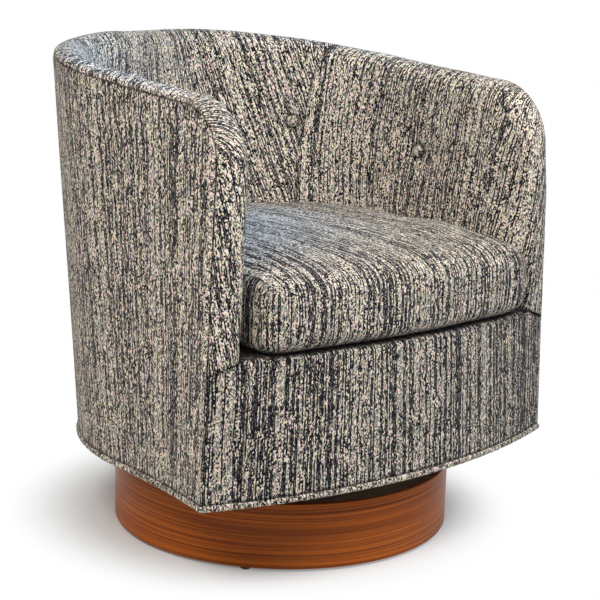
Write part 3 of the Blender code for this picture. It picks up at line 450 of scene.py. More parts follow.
@contextmanager
def repair(obj):
    """Opens a mesh for a repair, then turns every face outwards and puts it back."""
    form = bmesh.new()
    form.from_mesh(obj.data)
    yield form
    bmesh.ops.recalc_face_normals(form, faces=form.faces)
    form.to_mesh(obj.data)
    form.free()
    obj.data.shade_smooth()


def outwards(obj, merge=0.0, close=False):
    """Merges doubles and closes each open rim with one face if asked, and turns every face outwards."""
    with repair(obj) as form:
        if merge:
            bmesh.ops.remove_doubles(form, verts=form.verts, dist=merge)
        if close:
            bmesh.ops.holes_fill(form, edges=form.edges, sides=0)


def cover_surface(name, rows, weave, seam, material):
    """A cloth cover from a grid of points, given its thickness inwards by Solidify."""
    obj = surface(name, rows, grid(*rows.shape[:2]), material, weave, seam)
    assign(obj.modifiers.new("Thickness", "SOLIDIFY"), thickness=COVER - PROUD, offset=-1)
    return obj


def tube(name, path, radius, shift, material, closed=True, flat=1.0, normals=(0.0, 0.0, 1.0), sides=12):
    """A round or flattened tube: each ring is a circle across the path, its frame from the path's tangent
    and a given normal. The map's u is the way along and its v the way round, so the streaks run round."""
    tangent = unit(np.roll(path, -1, 0) - np.roll(path, 1, 0) if closed else np.gradient(path, axis=0))
    normal = np.broadcast_to(normals, path.shape)
    normal = unit(normal - tangent * np.sum(normal * tangent, 1, keepdims=True))
    across = np.cross(tangent, normal)
    turn = np.linspace(0, 2 * PI, sides, endpoint=False)
    ring = np.cos(turn)[None, :, None] * across[:, None, :]
    ring = ring + flat * np.sin(turn)[None, :, None] * normal[:, None, :]
    points = path[:, None, :] + radius[:, None, None] * ring
    if closed:
        points, path = np.concatenate([points, points[:1]]), np.concatenate([path, path[:1]])
    weave = pair(along(path)[:, None] + shift, (turn * np.mean(radius))[None, :])
    obj = surface(name, points, grid(len(points), sides, wrap=True), material, weave)
    outwards(obj, 1e-6 if closed else 0.0, close=not closed)
    return obj


def resample(loop, count):
    """The same closed loop with evenly spaced points."""
    closed = np.concatenate([loop, loop[:1]])
    run = along(closed)
    at = np.linspace(0, run[-1], count, endpoint=False)
    return np.stack([np.interp(at, run, closed[:, i]) for i in range(3)], -1)


def tub_loop(z, inset, depth, shares, count):
    """A closed loop round the tub: the wall moved in by the inset, the front back by the depth, and a
    corner where they meet."""
    ring = wall(LOOP_T, z, inset)
    line = point(*front(shares, z, depth), z)
    right = line[len(line) // 2:]
    ring = ring[ring[:, 1] > np.interp(np.abs(ring[:, 0]), right[:, 0], right[:, 1]) + 1e-4]
    line = line[np.abs(line[:, 0]) < abs(ring[0, 0])]
    return resample(np.concatenate([ring, line[::-1]]), count)


LOOP_T = np.linspace(-2, 2, 961)
WHOLE_FRONT = np.linspace(-1, 1, 480)
INNER_FRONT = np.linspace(-0.99, 0.99, 400)


def shrunk(loop, shares):
    """Copies of a loop, drawn in to its middle by each share."""
    middle = loop.mean(0)
    return [blend(middle, loop, share) for share in shares]


def evaluated_mesh(obj):
    """The object's mesh with its modifiers applied."""
    graph = bpy.context.evaluated_depsgraph_get()
    return bpy.data.meshes.new_from_object(obj.evaluated_get(graph))


# Shader nodes

class Tree:
    """Short calls that add and link the nodes of one tree."""

    def __init__(self, tree):
        self.tree = tree

    def feed(self, sockets, values):
        """Links each named socket to another, or sets its plain value."""
        for name, value in values.items():
            socket = sockets[name]
            if isinstance(value, bpy.types.NodeSocket):
                self.tree.links.new(value, socket)
            else:
                socket.default_value = (*value, 1.0) if socket.type == "RGBA" else value

    def add(self, kind, inputs=None, **settings):
        node = assign(self.tree.nodes.new(kind), **settings)
        self.feed(node.inputs, inputs or {})
        return node

    def math(self, operation, a, b=0.0, clamp=False):
        return self.add("ShaderNodeMath", {0: a, 1: b}, operation=operation, use_clamp=clamp).outputs[0]

    def plus(self, a, b):
        return self.math("ADD", a, b)

    def minus(self, a, b):
        return self.math("SUBTRACT", a, b)

    def times(self, a, b, clamp=False):
        return self.math("MULTIPLY", a, b, clamp)

    def over(self, a, b):
        return self.math("DIVIDE", a, b)

    def vector(self, operation, inputs, output=0):
        return self.add("ShaderNodeVectorMath", inputs, operation=operation).outputs[output]

    def combine(self, x, y=0.0, z=0.0):
        return self.add("ShaderNodeCombineXYZ", {0: x, 1: y, 2: z}).outputs[0]

    def split(self, vector):
        return self.add("ShaderNodeSeparateXYZ", {0: vector}).outputs

    def noise(self, vector, scale=1.0, detail=1.0, roughness=0.5, dimensions="3D"):
        return self.add(
            "ShaderNodeTexNoise",
            {"Vector": vector, "Scale": scale, "Detail": detail, "Roughness": roughness},
            noise_dimensions=dimensions,
        ).outputs["Fac"]

    def stretched_noise(self, place, x, across, detail=1.0, roughness=0.5):
        """Noise with one scale along x and one across it."""
        stretched = self.vector("MULTIPLY", {0: place, 1: (x, across, across)})
        return self.noise(stretched, 1.0, detail, roughness)

    def chance(self, inputs, dimensions="1D"):
        return self.add("ShaderNodeTexWhiteNoise", inputs, noise_dimensions=dimensions).outputs

    def span(self, value, low, high, to_low=0.0, to_high=1.0, kind="LINEAR"):
        return self.add(
            "ShaderNodeMapRange",
            {"Value": value, "From Min": low, "From Max": high, "To Min": to_low, "To Max": to_high},
            interpolation_type=kind,
        ).outputs[0]

    def mix(self, factor, a, b, kind="MIX"):
        colours = self.add("ShaderNodeMix", {}, data_type="RGBA", blend_type=kind)
        self.feed(colours.inputs, {0: factor, 6: a, 7: b})
        return colours.outputs[2]

    def bump(self, height, strength, distance):
        inputs = {"Strength": strength, "Distance": distance, "Height": height}
        return self.add("ShaderNodeBump", inputs).outputs[0]

    def group(self, group, inputs):
        return self.add("ShaderNodeGroup", inputs, node_tree=group).outputs

    def place(self):
        return self.add("ShaderNodeTexCoord").outputs["Object"]

    def weave(self):
        return self.add("ShaderNodeUVMap", uv_map="Weave").outputs[0]

    def wear(self, place):
        return self.group(wear_group("Handling wear"), {"Place": place, "Size": 1.0})[0]

    def seen(self):
        """1 for the rays of the eye, of reflections and of glass."""
        path = self.add("ShaderNodeLightPath").outputs
        other = self.math("MAXIMUM", path["Is Glossy Ray"], path["Is Transmission Ray"])
        return self.math("MAXIMUM", path["Is Camera Ray"], other)


def kept(store):
    """Makes a material or node group once: where its name is taken, what has it is given back."""
    def wrap(make):
        def find(name, *values):
            return getattr(bpy.data, store).get(name) or make(name, *values)
        find.__doc__ = make.__doc__
        return find
    return wrap


def new_group(name, inputs, outputs):
    """A shader node group with named sockets, and the calls that fill it."""
    group = bpy.data.node_groups.new(name, "ShaderNodeTree")
    for way, sockets in (("INPUT", inputs), ("OUTPUT", outputs)):
        for title, kind in sockets.items():
            group.interface.new_socket(title, in_out=way, socket_type="NodeSocket" + kind)
    tree = Tree(group)
    return tree, tree.add("NodeGroupInput").outputs, tree.add("NodeGroupOutput").inputs


@kept("node_groups")
def tweed_group(name):
    """The tweed: yarns one beside another, each with dark and pale stretches of its own along it."""
    tree, given, made = new_group(
        name,
        {"Weave": "Vector", "Yarn": "Float", "Slub": "Float", "Streak": "Float", "Pale": "Color",
         "Ground": "Color", "Dark": "Color", "Contrast": "Float"},
        {"Colour": "Color", "Height": "Float"},
    )
    plus, minus, times, over = tree.plus, tree.minus, tree.times, tree.over
    u, v, _ = tree.split(given["Weave"])
    wander = 0.004
    spread = 5.37  # keeps the noise of one yarn apart from the next
    u = plus(u, times(tree.noise(given["Weave"], 14.0, 1.0, 0.5, "2D"), wander))

    def own_noise(number, run):
        return tree.noise(tree.combine(times(number, spread), run), 1.0, 1.0, 0.5, "2D")

    # the ground: short floats of thin yarn, each with a tone of its own
    float_length, tone_length = 1.5, 0.0075
    column = tree.math("FLOOR", over(u, given["Yarn"]))
    start = tree.chance({"W": column})[0]
    bead = tree.math("FLOOR", plus(over(v, times(given["Yarn"], float_length)), start))
    cell = tree.chance({"Vector": tree.combine(column, bead)}, "2D")
    uneven = minus(cell[0], 0.5)
    tone = plus(times(uneven, 0.95), times(minus(own_noise(column, over(v, tone_length)), 0.5), 1.2))
    more = minus(given["Contrast"], 1.0)
    tone = minus(plus(tone, 0.5), times(more, 0.12))
    ground = tree.mix(tree.span(tone, 0.22, 0.46), given["Dark"], given["Ground"])
    colour = tree.mix(tree.span(tone, 0.46, 0.70), ground, given["Pale"])

    # the slubs: thicker yarn, about half of it dark, shown in long stretches
    slub = over(u, given["Slub"])
    number = tree.math("FLOOR", slub)
    is_dark = tree.math("GREATER_THAN", tree.chance({"W": plus(times(number, 1.7), 3.3)})[0], 0.48)
    run = plus(v, times(tree.chance({"W": number})[0], 3.7))
    streak = plus(own_noise(number, over(run, given["Streak"])), times(uneven, 0.10))
    streak = plus(streak, times(more, 0.08))
    edge = tree.math("ABSOLUTE", minus(times(minus(slub, number), 2.0), 1.0))
    line = tree.span(edge, 0.92, 0.62)
    dark = times(times(tree.span(streak, 0.49, 0.53), is_dark), line)
    dark = times(dark, given["Contrast"], clamp=True)
    bright = times(times(tree.span(streak, 0.50, 0.56), minus(1.0, is_dark)), line)
    colour = tree.mix(times(bright, 0.40), colour, given["Pale"])
    colour = tree.mix(dark, colour, given["Dark"])
    colour = tree.mix(1.0, colour, tree.mix(0.30, WHITE, cell[1]), "MULTIPLY")
    bulge = minus(1.0, tree.math("POWER", edge, 2.0))
    height = minus(plus(times(bulge, 0.5), times(cell[0], 0.7)), times(dark, 0.5))
    tree.feed(made, {"Colour": colour, "Height": height})
    return tree.tree


@kept("node_groups")
def grain_group(name):
    """Wood grain along X: long pores and growth lines that drift across the board."""
    tree, given, made = new_group(
        name,
        {"Along": "Vector", "Size": "Float", "Light": "Color", "Deep": "Color"},
        {"Colour": "Color", "Height": "Float"},
    )
    place = tree.vector("SCALE", {0: given["Along"], "Scale": given["Size"]})
    drift = tree.times(tree.stretched_noise(place, 2.0, 9.0), 4.0)
    lines = tree.vector("MULTIPLY", {0: place, 1: (1.4, 260.0, 260.0)})
    moved = tree.vector("ADD", {0: lines, 1: tree.combine(0.0, drift, 0.0)})
    figure = tree.noise(moved, 1.0, 3.0, 0.55)
    pore = tree.span(tree.stretched_noise(place, 30.0, 1500.0), 0.60, 0.72)
    colour = tree.mix(tree.span(figure, 0.30, 0.66), given["Deep"], given["Light"])
    broad = tree.span(tree.stretched_noise(place, 5.0, 22.0, 2.0), 0.3, 0.7, 0.0, 0.45)
    colour = tree.mix(broad, colour, (0.62, 0.55, 0.52), "MULTIPLY")
    colour = tree.mix(tree.times(pore, 0.55), colour, given["Deep"])
    tree.feed(made, {"Colour": colour, "Height": tree.minus(tree.times(figure, 0.3), pore)})
    return tree.tree


@kept("node_groups")
def wear_group(name):
    """Patchy dust and handling marks: two sizes of noise, used to vary colour and roughness."""
    tree, given, made = new_group(name, {"Place": "Vector", "Size": "Float"}, {"Mask": "Float"})
    broad = tree.noise(given["Place"], 9.0, 3.0, 0.6)
    fine = tree.noise(given["Place"], 140.0, 2.0, 0.6)
    mask = tree.plus(tree.times(broad, 0.7), tree.times(fine, 0.3))
    tree.feed(made, {"Mask": tree.times(tree.span(mask, 0.35, 0.65), given["Size"])})
    return tree.tree


# Materials

def new_material(name):
    """A new material, the calls that fill it, and its shader."""
    material = bpy.data.materials.new(name)
    material.use_nodes = True
    return material, Tree(material.node_tree), material.node_tree.nodes["Principled BSDF"]


@kept("materials")
def tweed_material(name):
    """Tweed on a piece with a Weave map. Shade scales its yarns and shift moves the pattern."""
    # the shade is painted light and shade: the same cloth made lighter or darker on each piece
    contrast, shade, shift = TWEEDS[name]
    cloth = bpy.context.scene.tub_tweed
    material, tree, shader = new_material(name)
    yarns = tree.group(tweed_group("Tweed yarns"), {
        "Weave": tree.vector("ADD", {0: tree.weave(), 1: (shift, shift * 0.7, 0.0)}),
        "Yarn": cloth.yarn, "Slub": cloth.slub, "Streak": cloth.streak, "Contrast": contrast,
        "Pale": [c * shade for c in cloth.pale], "Ground": [c * shade for c in cloth.middle],
        "Dark": cloth.dark,
    })
    # the Seam attribute darkens the cloth towards near black: seam lines with the shade of their grooves
    # painted in, and painted shade round the buttons, above the welt and under the cushion
    sewn_and_shade = tree.times(tree.add("ShaderNodeAttribute", attribute_name="Seam").outputs["Fac"], 0.88)
    tree.feed(shader.inputs, {
        "Base Color": tree.mix(sewn_and_shade, yarns["Colour"], (0.02, 0.02, 0.02), "MULTIPLY"),
        "Normal": tree.bump(yarns["Height"], 0.8, 0.0012),
        "Roughness": 0.92, "Specular IOR Level": 0.12, "Sheen Weight": 0.08, "Sheen Roughness": 0.45,
    })
    return material


@kept("materials")
def plain_cloth_material(name, colour, thread):
    """A plain woven cloth on Object coordinates: crossed threads, slubs and faint stains."""
    material, tree, shader = new_material(name)
    place = tree.place()
    warp, weft = (tree.math("SINE", tree.times(way, 2 * PI / thread)) for way in tree.split(place)[:2])
    slub = tree.stretched_noise(place, 40.0, 600.0, 2.0, 0.6)
    tone = tree.mix(tree.span(slub, 0.35, 0.65), [c * 0.62 for c in colour], colour)
    stain = [c * 1.5 + 0.02 for c in colour]
    tree.feed(shader.inputs, {
        "Base Color": tree.mix(tree.times(tree.wear(place), 0.3), tone, stain),
        "Normal": tree.bump(tree.plus(tree.times(tree.plus(warp, weft), 0.25), slub), 0.4, 0.0004),
        "Roughness": 0.85, "Sheen Weight": 0.1,
    })
    return material


@kept("materials")
def walnut_material(name):
    """Oiled walnut veneer whose grain runs round the drum."""
    wood = bpy.context.scene.tub_wood
    material, tree, shader = new_material(name)
    grain = tree.group(grain_group("Wood grain"), {
        "Along": tree.weave(), "Size": 1.0, "Light": wood.light, "Deep": wood.deep,
    })
    tree.feed(shader.inputs, {
        "Base Color": grain["Colour"],
        "Normal": tree.bump(grain["Height"], 0.25, 0.0003),
        "Roughness": tree.span(tree.wear(tree.place()), 0.0, 1.0, 0.30, 0.42),
        "Coat Weight": wood.polish, "Coat Roughness": 0.18, "Specular IOR Level": 0.10,
    })
    return material


@kept("materials")
def bare_wood_material(name, light, deep, size, upright):
    """Bare wood on Object coordinates, its grain along x or upright."""
    material, tree, shader = new_material(name)
    place = tree.place()
    if upright:
        x, y, z = tree.split(place)
        place = tree.combine(z, x, y)
    grain = tree.group(grain_group("Wood grain"), {
        "Along": place, "Size": size, "Light": light, "Deep": deep,
    })
    tree.feed(shader.inputs, {
        "Base Color": grain["Colour"],
        "Normal": tree.bump(grain["Height"], 0.3, 0.0004),
        "Roughness": 0.72,
    })
    return material


@kept("materials")
def steel_material(name, colour, rough_low, rough_high, spangle):
    """Steel with a patchy finish: zinc spangle or drawn wire, with handling marks in the roughness."""
    material, tree, shader = new_material(name)
    place = tree.place()
    grainy = tree.noise(place, spangle, 2.0, 0.6)
    tree.feed(shader.inputs, {
        "Base Color": tree.mix(tree.span(grainy, 0.35, 0.65), [c * 0.78 for c in colour], colour),
        "Normal": tree.bump(grainy, 0.15, 0.0002),
        "Roughness": tree.span(tree.wear(place), 0.0, 1.0, rough_low, rough_high),
        "Metallic": 1.0,
    })
    return material


@kept("materials")
def nylon_material(name):
    """Black moulded nylon with a fine pebbled skin and pale scuffs."""
    material, tree, shader = new_material(name)
    place = tree.place()
    scuff = tree.times(tree.wear(place), 0.5)
    tree.feed(shader.inputs, {
        "Base Color": tree.mix(scuff, (0.012, 0.012, 0.013), (0.045, 0.045, 0.045)),
        "Normal": tree.bump(tree.noise(place, 1800.0), 0.2, 0.0002),
        "Roughness": 0.45,
    })
    return material


# Pieces: covers and lining

def finish_piece(obj, body, nodes=()):
    """Names what a piece replaces, its finish, the body that it rides on and how tight its padding is."""
    if not obj.data.polygons:
        raise RuntimeError(f"{obj.name} has no faces")
    if nodes:
        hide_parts(*nodes)
    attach(obj, body)


def stitches(s):
    """Uneven gathers along a seam: a wave whose step wanders."""
    return np.sin(s * 2 * PI / GATHER_STEP + 2 * np.sin(s * 31))


def hem_shade(z):
    """The dark line above the welt: a bell of the height over the cover's bottom edge."""
    dark, width = HEM_SHADE
    return dark * bell(z - COVER_BOTTOM, width)


class PieceOperator:
    """What the chair's operators share."""

    bl_options = {"REGISTER", "UNDO"}


class TUB_OT_outer_cover(PieceOperator, bpy.types.Operator):
    """Covers the outside of the back and arms, up to the seam along the rim"""

    bl_idname = "tub.outer_cover"
    bl_label = "Outer cover"

    def execute(self, context):
        padding = context.scene.tub_padding
        shares = ARM_ROUND * (1 - np.cos(np.linspace(0, PI / 2, 14))) / ARM_RUN
        # t closely round the arm's corner, then evenly along the arm and the back
        half = np.concatenate([
            2 - shares, np.linspace(2 - shares[-1], 1, 48)[1:], np.linspace(1, 0, 84)[1:],
        ])
        t = np.concatenate([-half, half[-2::-1]])
        share = np.concatenate([np.linspace(0, 0.965, 90)[:-1], np.linspace(0.965, 1, 12)])
        high = seam_at(t) - GAP
        z = blend(COVER_BOTTOM, high[None, :], share[:, None])
        # the edge turns in by a bell at the seam, with gathers, and the cloth has a slight wave
        below = high[None, :] - z
        s = girth(t)[None, :]
        tuck = padding.crease * bell(below, CREASE_REACH)
        pucker = padding.pucker * stitches(s) * bell(below, 0.010)
        wave = COVER_WAVE * np.sin(s * 19 + 1.5) * np.sin(z * 13 + 0.6) * smooth(0, 0.1, below)
        rows = wall(t[None, :], z, tuck - pucker - wave - PROUD)
        rows[..., 1] = np.maximum(rows[..., 1], outline(z).front_y + AXIS_Y + GAP)
        run = along(wall(t, 0.40))
        weave = pair(run[None, :] - run[-1] / 2, z)
        # the seam along the rim and the line down each arm's front are darkened: stitches, with the shade
        # of their grooves painted in
        top_line = bell(below) * (0.48 + 0.26 * stitches(s))
        front_line = blend(0.4, 0.8, smooth(0.30, 0.36, z)) * bell((2 - np.abs(t)) * ARM_RUN)[None, :]
        seam = np.maximum(np.maximum(top_line, front_line), hem_shade(z))
        # the columns run backwards, so that the faces point outwards
        obj = cover_surface("outer_cover_tweed", settled(rows)[:, ::-1], weave[:, ::-1], seam[:, ::-1],
                            tweed_material("tweed_outside"))
        finish_piece(obj, "seat_shell", ["outer_cover"])
        return {"FINISHED"}


class TUB_OT_front_cover(PieceOperator, bpy.types.Operator):
    """Covers the bowed front, rolled over the rail and mitred to the arms"""

    bl_idname = "tub.front_cover"
    bl_label = "Front cover"

    def execute(self, context):
        o = outline(RAIL_HEIGHT)
        edge = ROLL_WIDTH + ARM_SWELL + 2 * GAP
        limit = (o.half_front - edge) / o.half_front
        ends = np.linspace(limit + 2 * GAP / o.half_front, 1, 14)
        share = np.concatenate([-ends[::-1], np.linspace(-limit, limit, 110), ends])
        between = np.abs(share) <= limit + 1e-9
        roll = np.where(between, RAIL_ROLL, MITRE_ROLL)[None, :]
        top = np.where(between, RAIL_HEIGHT, mitre_height((1 - np.abs(share)) * o.half_front))[None, :]
        lip = np.where(between, RAIL_LIP, RAIL_ROLL + GAP)[None, :]
        # up the front with rows closer at the top, a quarter round over the rail, and back over the lip
        up = 1 - (1 - np.linspace(0, 1, 54)[:-1, None]) ** 1.5
        turn = np.linspace(0, PI / 2, 7)[:, None]
        over = np.linspace(0, 1, 10)[1:, None]
        depth = np.concatenate([
            np.zeros((len(up), len(share))), roll * (1 - np.cos(turn)), blend(roll, lip, over),
        ])
        z = np.concatenate([
            blend(COVER_BOTTOM, top - roll, up), top - roll * (1 - np.sin(turn)),
            np.broadcast_to(top, (len(over), len(share))),
        ])
        at_end = (np.abs(share) == 1.0)[None, :] & (depth > 0)
        mitre = np.where(at_end, 1 - (depth + GAP) / o.half_front, 1.0)
        x, y = front(share[None, :] * mitre, z, depth)
        x = np.where(between[None, :], share / limit * side(y, z, edge)[0], x)
        across = along(point(*front(share, 0.25), 0.25))
        weave = pair(across[None, :] - across[-1] / 2, depth + z)
        # where the cover runs back under the cushion it is darkened with painted shade; at each mitre a
        # seam line with its groove's shade painted in
        seam = np.where(between[None, :], 0.85 * smooth(0.002, 0.008, depth), bell(top - z, MITRE_LINE))
        obj = cover_surface("front_cover_tweed", point(x, y, z), weave, np.maximum(seam, hem_shade(z)),
                            tweed_material("tweed_front"))
        finish_piece(obj, "seat_shell", ["front_cover"])
        return {"FINISHED"}


def roll_section(count, crease):
    """Across the roll in two quarter ellipses: seam up to the crest, then over and down into the lining.
    At the seam it turns in by the crease, which fades as a bell."""
    q = np.concatenate([np.linspace(0, 0.2, 9)[:-1], np.linspace(0.2, 2, count)])
    crest, fall = ROLL_CREST * ROLL_WIDTH, ROLL_HEIGHT + ROLL_DEPTH
    a, b = np.minimum(q, 1) * PI / 2, np.maximum(q - 1, 0) * PI / 2
    inset = np.where(q < 1, crest * (1 - np.cos(a)), crest + (ROLL_WIDTH - crest) * np.sin(b))
    depth = np.where(q < 1, -ROLL_HEIGHT * np.sin(a), fall * (1 - np.cos(b)) - ROLL_HEIGHT)
    reach = along(np.stack([inset, depth], -1))
    inset = inset - 0.0006 * np.minimum(1, 2 - q) + crease * bell(reach, CREASE_REACH)
    return inset, depth, reach[-1] - reach


def bow_back(x, z):
    """How far the front's bow takes a point forward: a parabola across its width."""
    return RAIL_BOW * np.maximum(0, 1 - (x / outline(z).half_front) ** 2)


def front_roll(share, inset, depth):
    """The roll up an arm's front: its section carried straight up from the mitred foot. Its crest stands
    less proud towards the foot, and it follows the bow."""
    foot = np.where(inset < ROLL_WIDTH - 1e-4, mitre_height(inset) + GAP, LINING_BOTTOM)[None, :]
    z = blend(foot, ARM_ROUND_HEIGHT, share[:, None])
    up = np.clip((z - RAIL_HEIGHT) / (ARM_ROUND_HEIGHT - RAIL_HEIGHT), None, 1)
    depth = np.where(depth < 0, depth * blend(ROLL_LOW_SHARE, ROLL_FRONT_SHARE, up), depth)
    y = outline(z).front_y + depth
    x = side(y, z, inset * (1 - FRONT_PINCH / ROLL_WIDTH))[0]
    return point(x, y - bow_back(x, z), z)


def round_roll(turn, inset, depth):
    """The roll round an arm's upper front corner: a quarter turn whose crest grows to its full height."""
    turn = turn[:, None]
    depth = np.where(depth < 0, depth * blend(ROLL_FRONT_SHARE, 1.0, np.sin(turn)), depth)
    radius = ARM_ROUND - depth
    y = TOP.front_y + ARM_ROUND - radius * np.cos(turn)
    z = ARM_ROUND_HEIGHT + radius * np.sin(turn)
    x = side(y, z, inset * (1 - FRONT_PINCH / ROLL_WIDTH * np.cos(turn)))[0]
    return point(x, y - np.cos(turn) ** 2 * bow_back(x, z), z)


def panel_seam(v):
    """How far from the middle of the back the slanted panels meet: straight up, then out to the rim by a
    power of the height."""
    return PANEL_S + 0.061 * np.clip((v - 0.464) / 0.244, 0, 1.3) ** 1.9


def fan(s, v, on_back):
    """Moves the weave's map sideways, so the streaks of two panels lean apart from the seam where they
    meet. The back panel leans by an even slope. The side panel leans by the square of the height, less
    and less round the arm."""
    reach = np.abs(s)
    up = v - 0.47
    inner = 0.30 * np.tanh(reach / 0.06) * up
    past = np.maximum(reach - PANEL_S, 0)
    outer = -(0.05 * up + 0.62 * up * np.abs(up)) * np.exp(-past / 0.35)
    outer = outer - 0.20 * up * smooth(0.05, 0.30, past)
    return s + np.sign(s) * np.where(on_back, inner, outer + 0.9)


def folds(s, z):
    """Small folds that run to each button, as a star of waves fading with distance."""
    rise = 0.0
    for place, height in zip(girth(TUFT_T), TUFT_Z):
        ds, dz = s - place, z - height
        far = np.hypot(ds, dz)
        star = np.cos(7 * np.arctan2(dz, ds) + place * 9)
        rise = rise + star * bell(far, 0.040) * np.clip(far / 0.018, 0, 1)
    return rise


class TUB_OT_tub_lining(PieceOperator, bpy.types.Operator):
    """Makes the padded roll and lining as one surface, pulled in at the buttons and seams"""

    bl_idname = "tub.tub_lining"
    bl_label = "Roll and lining"

    def execute(self, context):
        padding = context.scene.tub_padding
        inset, depth, reach = roll_section(26, padding.crease)
        roll, roll_map, face, face_map = self.right_half(inset, depth, reach)
        # the roll's seam line, with the shade of its groove painted in
        sewn_and_shade = np.concatenate([
            np.broadcast_to(bell(reach[0] - reach), roll.shape[:2]).ravel(), np.zeros(face[..., 0].size),
        ])
        points, maps, quads = [], [], []
        total = 0
        for sign in (1, -1):
            for rows, weave in ((roll, roll_map), (face, face_map)):
                points.append((rows * [sign, 1, 1]).reshape(-1, 3))
                maps.append((weave * [sign, 1]).reshape(-1, 2))
                faces = grid(*rows.shape[:2]) + total
                quads.append(faces if (sign > 0) == (rows is face) else faces[:, ::-1])
                total += len(points[-1])
        points, maps, quads = np.concatenate(points), np.concatenate(maps), np.concatenate(quads)
        corners = maps[quads]
        middle = corners.mean(1)
        on_back = np.abs(middle[:, 0]) < panel_seam(middle[:, 1])
        weave = np.stack([fan(corners[..., 0], corners[..., 1], on_back[:, None]), corners[..., 1]], -1)
        seam = np.maximum(np.tile(sewn_and_shade, 2), self.seam_and_shade_mask(points, maps))
        obj = surface("lining_tweed", settled(points), quads, tweed_material("tweed_lining"), weave, seam)
        outwards(obj, 2e-5)
        self.pull_in(obj.data, padding.fold)
        finish_piece(obj, "seat_shell", ["tub_lining"])
        return {"FINISHED"}

    def right_half(self, inset, depth, reach):
        """Points and maps of the roll and of the lining's face under it. The roll's section is carried from
        the right arm's foot round the corner to the middle of the back, and the face falls straight from
        its inner edge."""
        count = 120
        start = 2 - ARM_ROUND / ARM_RUN
        turns = np.linspace(0, PI / 2, 28)
        t = np.concatenate([np.linspace(start, 1, 50)[1:], np.linspace(1, 0, 150)[1:]])
        turn_centre = girth(start)
        inner = ARM_ROUND - ROLL_DEPTH
        seam = seam_at(t)

        foot = front_roll(np.linspace(0, 1, count)[:-1], inset, depth)
        corner = round_roll(turns, inset, depth)
        top = wall(t[:, None], seam[:, None] - depth[None, :], inset[None, :])
        far = inner + reach[None, :]
        corner_map = pair(
            turn_centre + far * np.cos(turns)[:, None], ARM_ROUND_HEIGHT + far * np.sin(turns)[:, None]
        )
        roll = np.concatenate([foot, corner, top])
        roll_map = np.concatenate([
            pair(turn_centre + far, foot[..., 2]), corner_map,
            pair(girth(t)[:, None], (seam - ROLL_DEPTH)[:, None] + reach[None, :]),
        ])

        # the first column is the inner edge of the arm's front, and each later one hangs from the roll
        rows = np.linspace(0, 1, count)[:, None]
        edge = corner[1:, -1]
        fall = blend(edge[:, 2], LINING_BOTTOM, rows)
        ahead = edge[:, 1] - AXIS_Y - outline(edge[:, 2]).front_y
        y = outline(fall).front_y + ahead
        pinch = FRONT_PINCH * np.cos(turns[1:])
        x = side(y, fall, lining_inset(2 - ahead / ARM_RUN, fall) - pinch)[0]
        z = blend(seam - ROLL_DEPTH, LINING_BOTTOM, rows)
        first = np.concatenate([corner[:1, -1], foot[:, -1][::-1]])
        hung = wall(t[None, :], z, lining_inset(t, z))
        face = np.concatenate([first[:, None, :], point(x, y, fall), hung], 1)
        face_map = np.concatenate([
            pair(turn_centre + inner, first[:, 2])[:, None, :],
            pair(corner_map[1:, -1, 0][None, :], fall), pair(girth(t)[None, :], z),
        ], 1)
        return roll, roll_map, face, face_map

    def seam_and_shade_mask(self, points, maps):
        """Sewn lines, each a bell of the distance from it: the mitred foot, the slanted panels' seam and
        the pull round each button."""
        x, y, z = points.T
        panels = 0.6 * bell((np.abs(maps[:, 0]) - panel_seam(maps[:, 1])) * 0.7)
        inset = np.abs(side(y - AXIS_Y, z, 0.0)[0] - np.abs(x))
        at_foot = (inset < ROLL_WIDTH) * (y < outline(z).front_y + AXIS_Y + 0.01)
        foot = bell(z - mitre_height(inset), MITRE_LINE) * at_foot
        rings = 0.0
        dark, width = BUTTON_SHADE_RING
        # a ring of painted shade round each button
        for there in wall(TUFT_T, TUFT_Z, lining_inset(TUFT_T, TUFT_Z)):
            rings = rings + dark * bell(np.linalg.norm(points - there, axis=-1) - BUTTON_RADIUS, width)
        return np.clip(panels + foot + rings, 0, 1)

    def pull_in(self, mesh, fold):
        """Moves each point along its normal by the folds at the buttons and by crossed waves, for a soft
        unevenness."""
        places = read(mesh.vertices, "co", 3)
        normals = read(mesh.vertex_normals, "vector", 3)
        x, y, z = places.T
        y = y - AXIS_Y
        o = outline(z)
        angle = np.arctan2((y - o.side_y) / o.depth, np.abs(x) / o.half_side)
        share = np.clip((y - o.front_y) / (o.side_y - o.front_y), 0, 1)
        t = np.where(y > o.side_y, 1 - angle / (PI / 2), 2 - share) * np.sign(x + 1e-9)
        s = girth(t)
        uneven = UNEVEN * np.sin(s * 37 + 2 * np.sin(z * 23)) * np.sin(z * 29 + 1.3 * np.sin(s * 17))
        write(mesh.vertices, "co", places + normals * (fold * folds(s, z) + uneven)[:, None])
        mesh.update()


